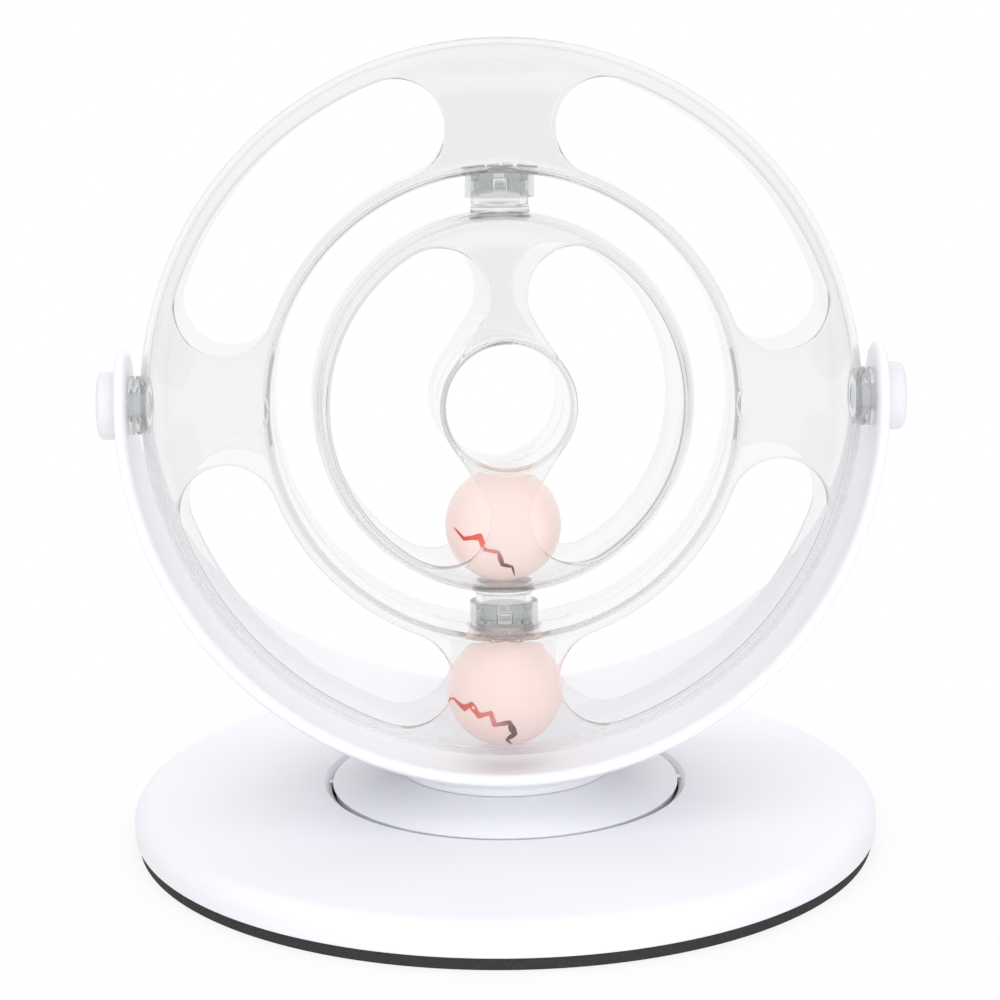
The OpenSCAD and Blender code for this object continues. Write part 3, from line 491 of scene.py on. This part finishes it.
outerHalf = ringHalf(outerRing, kidney(outerRing), ((0, 90), (0, 90, 180, 270)), 30)
innerHalf = ringHalf(innerRing, sideWindow(innerRing), ((-90, 90), (0, 180)), 26)
halfTurn = turnAbout("Z", 180)
quarters = ("upper_right", "upper_left", "lower_left", "lower_right")
for end, half in (("front", np.eye(4)), ("rear", halfTurn)):
    makePiece("outerRing" + end.title(), [moved(p, onOuter @ half) for p in outerHalf], clear, "outer_ring",
              ["outer_%s_%s" % (end, q) for q in quarters])
    makePiece("innerRing" + end.title(), [moved(p, onInner @ half) for p in innerHalf], clear, "inner_ring",
              ["inner_%s_%s" % (end, side) for side in ("right", "left")])


# bends the end of a turned part onto a ring's wall, which curves along the ring and round its edge
def onWall(part, ring, wallR, end, keep):
    points, faces = part
    points = points.copy()
    near = abs(points[:, 2] - end) < keep
    outside = 2 * wallR > ring["bore"] + ring["out"]
    past = np.maximum(abs(points[near, 1]) - (ring["half"] - ring["outRound"]), 0) if outside else 0
    points[near, 2] += np.sqrt(wallR ** 2 - points[near, 0] ** 2) - wallR
    points[near, 2] += np.sqrt(ring["outRound"] ** 2 - past ** 2) - ring["outRound"]
    return points, faces


# a closed block: an outline across, carried back through levels of share and depth
def slab(outline, levels):
    rows = np.stack([np.stack([outline[:, 0] * f, np.full(len(outline), y), outline[:, 1] * f], -1)
                     for f, y in levels])
    return rows.reshape(-1, 3), gridFaces(len(rows), len(outline))


swivel = {"pin": 8.95, "bore": 9.0, "out": 10.8, "bottom": 64.0, "flange": 12.2, "flangeLow": 73.68,
          "flangeTop": 74.35, "windowLow": 66.2, "windowHigh": 70.0, "windowHalf": 2.6, "windowRound": 0.5,
          "windowEdge": 0.35, "tabHalf": 1.75, "tabHigh": 2.4, "tabBack": 8.5, "tabFront": 10.3,
          "tabRound": 0.4, "pinBore": 6.55, "lip": 9.25, "lipHigh": 61.15, "pinTop": 71.9, "grooveLow": 66.1,
          "grooveHigh": 69.22, "groove": 8.05, "fit": 0.03}


# collar of the outer ring: a short tube from the ring's bore with a snap window in front and behind, and its
# flange inside the track
def collar(s, ring):
    top, half = ring["bore"] - s["fit"], s["windowHalf"]
    mid, tall = (s["windowHigh"] + s["windowLow"]) / 2, (s["windowHigh"] - s["windowLow"]) / 2
    flat = roundedPath([(0, -tall), (half, -tall), (half, tall), (-half, tall), (-half, -tall)],
                       (0,) + (s["windowRound"],) * 4)
    lip = evenly(flat, 120)[:, ::-1] / (1, s["out"]) + (mid, -math.pi / 2)

    def place(high, angle, deep):
        r = s["out"] - deep
        return np.stack([r * np.cos(angle), r * np.sin(angle), high + 0 * deep], -1)

    cell = windowedCell(lip, (s["bottom"], top), (-math.pi, 0), s["out"], s["out"] - s["bore"],
                        s["windowEdge"], 16, place)
    cell = onWall(cell, ring, ring["bore"], top, 0.2)
    disc = roundedPath([(0, s["flangeLow"]), (s["flange"], s["flangeLow"]), (s["flange"], s["flangeTop"]),
                        (0, s["flangeTop"])], (0, 0.2, 0.3, 0), closed=False)
    flange = onWall(turned(disc, closed=False, steps=96), ring, s["flangeLow"], s["flangeLow"], 1.0)
    return [cell, moved(cell, halfTurn), flange]


# snap tab in the collar's window, with its foot in the neck's groove
def snapTab(s):
    half, tall = s["tabHalf"], s["tabHigh"] / 2
    back, front = -s["tabBack"], -s["tabFront"]
    outline = roundedPath([(-half, -tall), (half, -tall), (half, tall), (-half, tall)], (s["tabRound"],) * 4)
    tab = slab(outline, [(0, back), (0.98, back), (1, back - 0.1), (1, front + 0.15), (0.93, front),
                         (0, front)])
    return moved(tab, shiftBy(0, 0, (s["grooveLow"] + s["grooveHigh"]) / 2))


# neck of the inner ring: stands on the ring with a lip, has a groove for the tabs, and is open at its top
def neck(s, ring):
    foot, lipHigh, low, high = ring["out"] + s["fit"], s["lipHigh"], s["grooveLow"], s["grooveHigh"]
    profile = roundedPath([(0, foot), (s["lip"], foot), (s["lip"], lipHigh), (s["pin"], lipHigh),
                           (s["pin"], low), (s["groove"], low), (s["groove"], high), (s["pin"], high),
                           (s["pin"], s["pinTop"]), (s["pinBore"], s["pinTop"]), (s["pinBore"], lipHigh),
                           (0, lipHigh)],
                          (0, 0, 0.3, 0.1, 0.1, 0.1, 0.1, 0.1, 0.4, 0.3, 0.6, 0), closed=False)
    return [onWall(turned(profile, closed=False, steps=96), ring, ring["out"], foot, 0.02)]


upsideDown = turnAbout("X", 180)
for side, flip in (("upper", np.eye(4)), ("lower", upsideDown)):
    tabs = [snapTab(swivel), moved(snapTab(swivel), halfTurn)]
    # the collar and its tabs take the darker clear: painted shade
    makePiece(side + "Collar", [moved(p, onOuter @ flip) for p in collar(swivel, outerRing) + tabs],
              clearFittingPaintedShade, "outer_ring", [side + "_swivel_socket"])
    makePiece(side + "Neck", [moved(p, onInner @ flip) for p in neck(swivel, innerRing)], clear,
              "inner_ring", [side + "_swivel_pin"])

bush = {"shaft": 4.05, "flange": 9.3, "start": 113.33, "end": 116.9, "slit": 0.6, "slitDeep": 1.0,
        "spigot": 7.0, "spigotStart": 111.47, "spigotEnd": 111.68}
knob = {"shaft": 4.0, "out": 10.7, "face": 120.87, "top": 126.67, "round": 1.5, "tip": 111.75}


# bush on the ring's outside: two flanges with a slit between them, and a collar inside the wall
def pivotBush(b, ring):
    mid = (b["start"] + b["end"]) / 2
    low, high, core = mid - b["slit"] / 2, mid + b["slit"] / 2, b["flange"] - b["slitDeep"]
    wide = b["flange"]
    flanges = roundedPath([(b["shaft"], b["start"]), (wide, b["start"]), (wide, low), (core, low),
                           (core, high), (wide, high), (wide, b["end"]), (b["shaft"], b["end"])],
                          (0, 0.2, 0.25, 0.1, 0.1, 0.25, 0.3, 0))
    inner = roundedPath([(b["shaft"], b["spigotStart"]), (b["spigot"], b["spigotStart"]),
                         (b["spigot"], b["spigotEnd"]), (b["shaft"], b["spigotEnd"])], (0.1, 0.2, 0, 0))
    return [onWall(turned(flanges, steps=96), ring, ring["out"], b["start"], 0.05),
            onWall(turned(inner, steps=96), ring, ring["out"] - ring["wall"], b["spigotEnd"], 0.05)]


# knob on the lug: a rounded cap on the shaft that carries the ring
def pivotKnob(k):
    cap = roundedPath([(0, k["tip"]), (k["shaft"], k["tip"]), (k["shaft"], k["face"]), (k["out"], k["face"]),
                       (k["out"], k["top"]), (0, k["top"])], (0, 0.4, 0, 0.3, k["round"], 0),
                      closed=False, steps=10)
    return [turned(cap, closed=False, steps=96)]


for side, half in (("right", np.eye(4)), ("left", halfTurn)):
    alongX = half @ turnAbout("Y", 90)
    # the bush takes the darker clear: painted shade
    makePiece(side + "Bush", [moved(p, onOuter @ alongX) for p in pivotBush(bush, outerRing)], clearFittingPaintedShade,
              "outer_ring", [side + "_pivot_bush"])
    # the knob takes the darker white: painted shade
    makePiece(side + "Knob", [moved(p, shiftBy(*pivot) @ alongX) for p in pivotKnob(knob)], knobPaintedShadeWhite,
              "turntable", [side + "_pivot_knob"])


yoke = {"out": 121.57, "in": 117.57, "lug": 17.5, "widen": 23.8, "edge": 1.5, "softWide": 4.2,
        "softDeep": 2.3, "foot": 35.6, "footZ": 22.7, "footWall": 1.6, "sweep": 3.0, "steer": 1.5,
        "steerDrop": 0.4, "plugRise": 1.2, "fit": 0.05}


# yoke: a band of a sphere about the pivots. Its border runs down from a round lug, and its half width there
# is the root of the lug's radius squared plus the height's share squared. Inside, the border rolls over
# softly
def yokeBand(y):
    ballR = (y["out"] + y["in"]) / 2
    lug, widen = y["lug"] / ballR, math.tan(math.radians(y["widen"]))
    a = np.radians(np.linspace(-90, 90, 181))
    cosB = np.sqrt((1 - lug ** 2) / (1 + (widen * np.cos(a)) ** 2))
    band = np.stack([cosB * np.sin(a), -np.sqrt(1 - cosB ** 2), -cosB * np.cos(a)], -1)
    spine = np.stack([np.sin(a), 0 * a, -np.cos(a)], -1)
    psi = np.radians(np.linspace(0, 90, 25))[1:]
    tip = np.stack([np.full(len(psi), math.sqrt(1 - lug ** 2)), -lug * np.cos(psi), lug * np.sin(psi)], -1)
    hub = np.tile((1.0, 0, 0), (len(psi), 1))
    front = np.concatenate([(tip * (-1, 1, 1))[::-1], band, tip])
    middle = np.concatenate([(hub * (-1, 1, 1))[::-1], spine, hub])
    border = np.concatenate([front, (front * (1, -1, 1))[-2:0:-1]])
    middle = np.concatenate([middle, middle[-2:0:-1]])
    along = np.roll(border, -1, 0) - np.roll(border, 1, 0)
    inward = np.cross(border, along)
    inward /= np.linalg.norm(inward, axis=1)[:, None]
    inward *= np.sign(np.sum(inward * (middle - border)))
    quarter = np.radians(np.linspace(0, 90, 9))
    away, deep = 1 - np.sin(quarter), 1 - np.cos(quarter)

    def surface(radius, shares, inset):
        edge = border * radius + inward * inset
        edge /= np.linalg.norm(edge, axis=1)[:, None]
        mix = [middle * (1 - f) + edge * f for f in shares]
        return [radius * m / np.linalg.norm(m, axis=1)[:, None] for m in mix]

    shares = np.linspace(0, 1, 22)
    outer = surface(y["out"], shares[:-1], y["edge"])
    bend1 = [border * (y["out"] - y["edge"] * d) + inward * y["edge"] * w for w, d in zip(away, deep)]
    bend2 = [border * (y["in"] + y["softDeep"] * d) + inward * y["softWide"] * w
             for w, d in zip(away[::-1], deep[::-1])]
    inner = surface(y["in"], shares[-2::-1], y["softWide"])
    rows = np.stack(outer + bend1 + bend2 + inner) + pivot
    rows[..., 2] = np.maximum(rows[..., 2], y["footZ"] + 2 * y["fit"])
    return rows.reshape(-1, 3), gridFaces(len(rows), len(border))


# foot of the yoke: a short turned wall that sweeps out into the bowl
def yokeFoot(y):
    f, under, wallTop = y["foot"], y["footZ"] + y["fit"], y["footZ"] + y["footWall"]
    onBowl = [(r, pivot[2] - math.sqrt(y["out"] ** 2 - r ** 2)) for r in (f + y["sweep"], f + y["steer"])]
    t = np.linspace(0, 1, 9)[:, None]
    turnHigh = onBowl[1][1] - y["steerDrop"]
    start, steer, end = (np.array([at]) for at in ((f, wallTop), (f, turnHigh), onBowl[0]))
    sweep = (1 - t) ** 2 * start + 2 * t * (1 - t) * steer + t ** 2 * end
    low = roundedPath([(0, under), (f, under), (f, wallTop)], (0, 0.7, 0), closed=False)
    inWall = [(f, onBowl[0][1] + y["footWall"]), (0, pivot[2] - (y["out"] + y["in"]) / 2 + y["plugRise"])]
    return turned(np.concatenate([low[:-1], sweep, inWall]), closed=False)


makePiece("yokeBowl", [yokeBand(yoke), yokeFoot(yoke)], white, "turntable", ["yoke"],
          sharp=40)


turntable = {"rim": 56.0, "rimTop": 16.95, "lipHigh": 0.45, "under": 0.8, "rimLow": 13.34, "rimThick": 1.7,
             "foot": 35.6, "footZ": 22.7, "wall": 2.4, "hub": 11.0, "hubLow": 8.1, "bore": 6.05,
             "access": 9.0, "hubTop": 18.3, "nib": 0.9, "nibHigh": 0.6, "nibDrop": 0.05}


# turntable: a shallow turned cone with a thin lip round its rim, hollow underneath, on its hub
def turntableCone(d):
    plate, lowRim = d["footZ"] - d["wall"], d["rimTop"] - d["rimThick"]
    corners = [(d["bore"], d["hubLow"]), (d["hub"], d["hubLow"]), (d["hub"], plate), (d["foot"], plate),
               (d["rim"] - d["wall"], lowRim), (d["rim"] - d["wall"], d["rimLow"]),
               (d["rim"] - d["under"], d["rimLow"]), (d["rim"] - d["under"], d["rimTop"] - d["lipHigh"]),
               (d["rim"], d["rimTop"] - d["lipHigh"]), (d["rim"], d["rimTop"]), (d["foot"], d["footZ"]),
               (d["access"], d["footZ"]), (d["access"], d["hubTop"]), (d["bore"], d["hubTop"])]
    radii = (0.2, 0.4, 0.8, 2.0, 0.4, 0.3, 0.3, 0.1, 0.1, 0.2, 3.0, 0.3, 0.3, 0.2)
    return turned(roundedPath(corners, radii), steps=192)


# nib on the rim: a small turned button with a rounded top
def rimNib(d, side):
    high = d["rimTop"] - d["nibDrop"]
    low = high - d["nibHigh"]
    button = roundedPath([(0, low), (d["nib"], low), (d["nib"], high), (0, high)], (0, 0, 0.4, 0),
                         closed=False)
    return moved(turned(button, closed=False, steps=32), shiftBy(side * (d["rim"] + d["nib"] / 3), 0, 0))


makePiece("turntableCone", [turntableCone(turntable), rimNib(turntable, 1), rimNib(turntable, -1)], white,
          "turntable", ["turntable_disc"])


base = {"out": 120.0, "crown": 17.2, "edgeHigh": 14.25, "low": 4.0, "well": 56.4, "groove": 58.7, "lip": 12.7,
        "bevel": 2.1, "edgeRound": 6.0, "footRound": 0.6, "wall": 2.4}


# base: a low turned dome with a round shoulder, a bevelled well in its middle, and a hollow underside
def baseDome(b):
    shoulder, out = b["edgeHigh"], b["out"]
    top = [(b["well"], b["lip"]), (b["well"], b["crown"] - b["bevel"]), (b["groove"], b["crown"]),
           (out - b["edgeRound"], shoulder)]
    upper = roundedPath(top, (0.3, 0.5, 0.5, 0), closed=False)
    round1 = arc((out - b["edgeRound"], shoulder - b["edgeRound"]), b["edgeRound"], 88.5, 0, 16)
    round2 = arc((out - b["footRound"], b["low"] + b["footRound"]), b["footRound"], 0, -90, 8)
    inside = arc((out - b["edgeRound"], shoulder - b["edgeRound"]), b["edgeRound"] - b["wall"], 0, 88.5, 10)
    hollow = [(b["well"] + b["wall"], b["crown"] - b["wall"]), (b["well"] + b["wall"], b["lip"])]
    rim = [(out - b["wall"], b["low"])]
    return turned(np.concatenate([upper[:-1], round1, round2, rim, inside, hollow]), steps=256)


makePiece("baseDome", [baseDome(base)], white, "base", ["base_shell"])


pad = {"out": 118.8, "high": 4.0, "edge": 0.5, "door": (0, 74.2), "doorSize": (57.3, 32.6),
       "switch": (-38.65, 74.2), "switchSize": (14.0, 9.6), "corner": 2.0}


# foam pad: its disc and its two openings are outlines, with edges that round over from the faces
def padSheet(p):
    disc = arc((0, 0), p["out"], 0, 360, 257)[:-1]

    def opening(middle, size):
        w, h = size[0] / 2, size[1] / 2
        return np.array(middle) + roundedPath([(-w, -h), (w, -h), (w, h), (-w, h)], (p["corner"],) * 4)

    quarter = np.radians(np.linspace(0, 90, 5))
    rise, inset = p["edge"] * (1 - np.sin(quarter)), p["edge"] * (1 - np.cos(quarter))
    lift = np.concatenate([rise[::-1], p["high"] - rise])
    back = np.concatenate([inset[::-1], inset])
    loops = [(disc, 1.0)] + [(opening(p[k], p[k + "Size"]), -1.0) for k in ("door", "switch")]
    parts = []
    for loop, sign in loops:
        along = np.roll(loop, -1, 0) - np.roll(loop, 1, 0)
        normal = np.stack([along[:, 1], -along[:, 0]], -1) / np.linalg.norm(along, axis=1)[:, None]
        rows = np.stack([np.concatenate([loop - sign * normal * b, np.full((len(loop), 1), h)], 1)
                         for h, b in zip(lift, back)])
        parts.append((rows.reshape(-1, 3), gridFaces(len(rows), len(loop))))
    return parts


# fills the flat top and bottom between the loops that lie there
def fillFlats(piece, heights):
    work = bmesh.new()
    work.from_mesh(piece.data)
    for height in heights:
        edges = [e for e in work.edges
                 if e.is_boundary and all(abs(v.co.z - height * mm) < 1e-6 for v in e.verts)]
        bmesh.ops.triangle_fill(work, use_beauty=True, use_dissolve=False, edges=edges)
    bmesh.ops.recalc_face_normals(work, faces=work.faces)
    print("filled", piece.name, sum(not e.is_manifold for e in work.edges), "open edges")
    work.to_mesh(piece.data)
    work.free()


padPiece = makePiece("foamPad", padSheet(pad), foam, "base", ["base_pad"])
fillFlats(padPiece, (0, pad["high"]))
padPiece.data.shade_smooth()
padPiece.data.set_sharp_from_angle(angle=math.radians(40))


ball = {"radius": 18.4, "lift": 0.04, "outerTrack": 93.0, "innerTrack": 39.6}
# own jagged lines in shares of the radius, across and up as seen from the front, with their half widths
outerCrack = [(-0.93, -0.02, 0.0), (-0.72, -0.17, 0.055), (-0.60, -0.08, 0.05), (-0.47, -0.27, 0.045),
              (-0.27, -0.2, 0.04), (-0.2, -0.42, 0.035), (0.05, -0.37, 0.045), (0.14, -0.6, 0.05),
              (0.01, -0.72, 0.035), (0.1, -0.85, 0.0)]
innerCrack = [(-0.9, 0.05, 0.0), (-0.75, -0.12, 0.03), (-0.5, -0.06, 0.05), (-0.42, -0.28, 0.035),
              (-0.2, -0.32, 0.025), (-0.12, -0.55, 0.04), (0.05, -0.6, 0.02), (0.12, -0.8, 0.0)]


# ball: a cube whose six faced grids are pushed out to the sphere
def ballSurface(radius, n=40):
    t = np.tan(np.linspace(-np.pi / 4, np.pi / 4, n))
    u, v = np.meshgrid(t, t, indexing="ij")
    parts = []
    for axis in range(3):
        for sign in (-1, 1):
            p = np.stack(np.broadcast_arrays(u, v, np.full_like(u, sign)), -1)
            p = np.roll(p, axis, -1)
            p = radius * p / np.linalg.norm(p, axis=-1, keepdims=True)
            parts.append((p.reshape(-1, 3), gridFaces(n, n, closeCols=False)))
    return parts


# crack: a strip on the ball's front that turns with the line's smoothed direction and swells and fades
def crackStrip(line, b):
    line = np.array(line)
    seat = b["radius"] + b["lift"]
    run = np.concatenate([[0], np.cumsum(np.linalg.norm(np.diff(line[:, :2], axis=0), axis=1))])
    at = np.unique(np.concatenate([run, np.linspace(0, run[-1], 90)]))
    x, z, w = (np.interp(at, run, line[:, k]) for k in range(3))
    bend = np.ones(11) / 11
    along = np.stack([np.convolve(np.pad(np.gradient(v, at), 5, "edge"), bend, "valid") for v in (x, z)], -1)
    along /= np.linalg.norm(along, axis=1)[:, None]
    side = np.stack([-along[:, 1], along[:, 0]], -1)
    ragged = 1 + 0.12 * np.sin(at * 31) + 0.1 * np.sin(at * 13 + 1)
    rows = []
    for s in (-1, 1):
        xz = np.stack([x, z], -1) + side * (s * w * ragged + 0.004 * s)[:, None]
        xz *= np.minimum(1, 0.985 / np.linalg.norm(xz, axis=1))[:, None]
        rows.append(np.stack([xz[:, 0], -np.sqrt(1 - np.sum(xz ** 2, axis=1)), xz[:, 1]], -1) * seat)
    points = np.concatenate(rows)
    return (points, gridFaces(2, len(at), closeCols=False)), np.tile(at / run[-1], 2)


# a ball at the lowest point of its track, with its printed line
def makeBall(name, place, track, line):
    at = place @ shiftBy(0, 0, -track)
    body = name + "_ball"
    makePiece(name + "Ball", [moved(p, at) for p in ballSurface(ball["radius"])], pink, body, [body])
    strip, along = crackStrip(line, ball)
    printed = makePiece(name + "BallCrack", [moved(strip, at)], crack, body, (), weld=0.0001)
    layer = printed.data.attributes.new("along", "FLOAT", "POINT")
    layer.data.foreach_set("value", along.astype(np.float32)[:len(layer.data)])


makeBall("outer", onOuter, ball["outerTrack"], outerCrack)
makeBall("inner", onInner, ball["innerTrack"], innerCrack)


# CAD nodes that stay take their slot's finish
for part in frame["record"]["subparts"]:
    node = frame["nodes"][part["node"]]
    if not node.hide_render:
        node.data.materials.clear()
        node.data.materials.append(finishes[part["material_slot"]])
print("finishes set")


# stage: camera, floor, lamps and world
shot = {"distance": 876.34, "height": 322.95, "pitch": 13.66, "azimuth": -1.2, "roll": -0.52, "sensor": 36,
        "focal": 2.8346, "axisAt": 0.5027}


# camera: stands on a circle about the toy's axis and looks down at it
def makeCamera(s):
    data = bpy.data.cameras.new("camera")
    data.sensor_width = s["sensor"]
    data.lens = s["focal"] * data.sensor_width
    data.shift_x = 0.5 - s["axisAt"]
    cam = bpy.data.objects.new("camera", data)
    bpy.context.scene.collection.objects.link(cam)
    a = math.radians(s["azimuth"])
    cam.location = Vector((math.sin(a) * s["distance"], -math.cos(a) * s["distance"], s["height"])) * mm
    cam.rotation_mode = "XYZ"
    turn = Matrix.Rotation(a, 3, "Z") @ Matrix.Rotation(math.radians(90 - s["pitch"]), 3, "X") \
        @ Matrix.Rotation(math.radians(s["roll"]), 3, "Z")
    cam.rotation_euler = turn.to_euler()
    bpy.context.scene.camera = cam


# rays that show the backdrop: those straight to the eye, and with them those in gloss and through clear
# plastic
def seenRays(tree):
    path = tree.nodes.new("ShaderNodeLightPath")
    rays = [Sock(tree, path.outputs[n]) for n in ("Is Camera Ray", "Is Glossy Ray", "Is Transmission Ray")]
    return rays[0], rays[0].larger(rays[1]).larger(rays[2])


stage = {"floor": 40.0, "floorLow": 0.0002, "glowNear": 0.84, "glowFrom": 0.118, "glowTo": 0.2,
         "room": (0.95, 0.955, 1.0), "roomLight": 0.9, "roomSide": 0.7, "side": 0.52, "sideTo": 0.05,
         "frontFrom": 0.6, "paint": (0.9, 0.9, 0.9), "bounces": 32}


# floor: glows white to the eye, with a little true shading close to the base
def makeFloor(s):
    half = s["floor"] / 2
    mesh = bpy.data.meshes.new("floor")
    corners = [(-half, -half, 0), (half, -half, 0), (half, half, 0), (-half, half, 0)]
    mesh.from_pydata(corners, [], [(0, 1, 2, 3)])
    floor = bpy.data.objects.new("floor", mesh)
    bpy.context.scene.collection.objects.link(floor)
    floor.location.z = -s["floorLow"]
    material = bpy.data.materials.new("floorWhite")
    material.use_nodes = True
    tree = material.node_tree
    tree.nodes.clear()
    seen = seenRays(tree)[1]
    place = Sock(tree, tree.nodes.new("ShaderNodeTexCoord").outputs["Object"])
    away = place.node("ShaderNodeVectorMath", {"operation": "LENGTH"}, {0: place}, "Value")
    glowing = away.node("ShaderNodeMapRange", None, {
        "Value": away, "From Min": s["glowFrom"], "From Max": s["glowTo"], "To Min": s["glowNear"],
        "To Max": 1.0})
    paint = seen.node("ShaderNodeBsdfDiffuse", None, {"Color": (*s["paint"], 1)})
    glow = seen.node("ShaderNodeEmission", None, {"Color": (1, 1, 1, 1), "Strength": 1.0})
    mixed = seen.node("ShaderNodeMixShader", None, {0: seen * glowing, 1: paint, 2: glow})
    out = tree.nodes.new("ShaderNodeOutputMaterial")
    tree.links.new(mixed.socket, out.inputs[0])
    mesh.materials.append(material)


# world: a soft room for the light, dimmer to the sides; to the eye a white backdrop, which gloss and clear
# plastic show greyer to the sides and behind
def makeWorld(s):
    world = bpy.data.worlds.new("studio")
    bpy.context.scene.world = world
    world.use_nodes = True
    tree = world.node_tree
    tree.nodes.clear()
    straight, seen = seenRays(tree)
    aim = Sock(tree, tree.nodes.new("ShaderNodeTexCoord").outputs["Generated"])
    split = tree.nodes.new("ShaderNodeSeparateXYZ")
    tree.links.new(aim.socket, split.inputs[0])
    ahead, up = Sock(tree, split.outputs["Y"]), Sock(tree, split.outputs["Z"])
    bright = seen.node("ShaderNodeMapRange", None, {
        "Value": ahead.larger(up), "From Min": s["sideTo"], "From Max": s["frontFrom"], "To Min": s["side"],
        "To Max": 1.0})
    level = s["roomSide"] + (1 - s["roomSide"]) * (ahead * ahead).larger(up)
    room = seen.node("ShaderNodeBackground", None, {0: (*s["room"], 1), 1: s["roomLight"] * level})
    backdrop = seen.node("ShaderNodeBackground", None, {0: (1, 1, 1, 1), 1: bright.larger(straight)})
    mixed = seen.node("ShaderNodeMixShader", None, {0: seen, 1: room, 2: backdrop})
    out = tree.nodes.new("ShaderNodeOutputWorld")
    tree.links.new(mixed.socket, out.inputs[0])


lamps = {"overhead": {"at": (-0.25, -0.35, 1.5), "size": 1.6, "watts": 4.6},
         "front": {"at": (0.3, -1.6, 0.42), "size": 1.4, "watts": 5.5},
         "low": {"at": (0.0, -1.3, 0.1), "size": 0.9, "watts": 4.5},
         "rear": {"at": (0.15, 1.2, 0.8), "size": 1.2, "watts": 5.0}}


# lamps: square soft boxes, unseen in gloss and through clear plastic
def makeLamps(lights):
    middle = Vector((0, 0, 0.12))  # what all lamps aim at
    for name, l in lights.items():
        data = bpy.data.lights.new(name, "AREA")
        data.size, data.energy = l["size"], l["watts"]
        lamp = bpy.data.objects.new(name, data)
        bpy.context.scene.collection.objects.link(lamp)
        lamp.location = l["at"]
        lamp.rotation_euler = (middle - Vector(l["at"])).to_track_quat("-Z", "Y").to_euler()
        lamp.visible_camera = lamp.visible_glossy = lamp.visible_transmission = False


makeCamera(shot)
makeFloor(stage)
makeWorld(stage)
makeLamps(lamps)
bpy.context.scene.view_settings.view_transform = "Standard"
paths = bpy.context.scene.cycles
paths.max_bounces = paths.transmission_bounces = paths.transparent_max_bounces = stage["bounces"]
print("stage set")
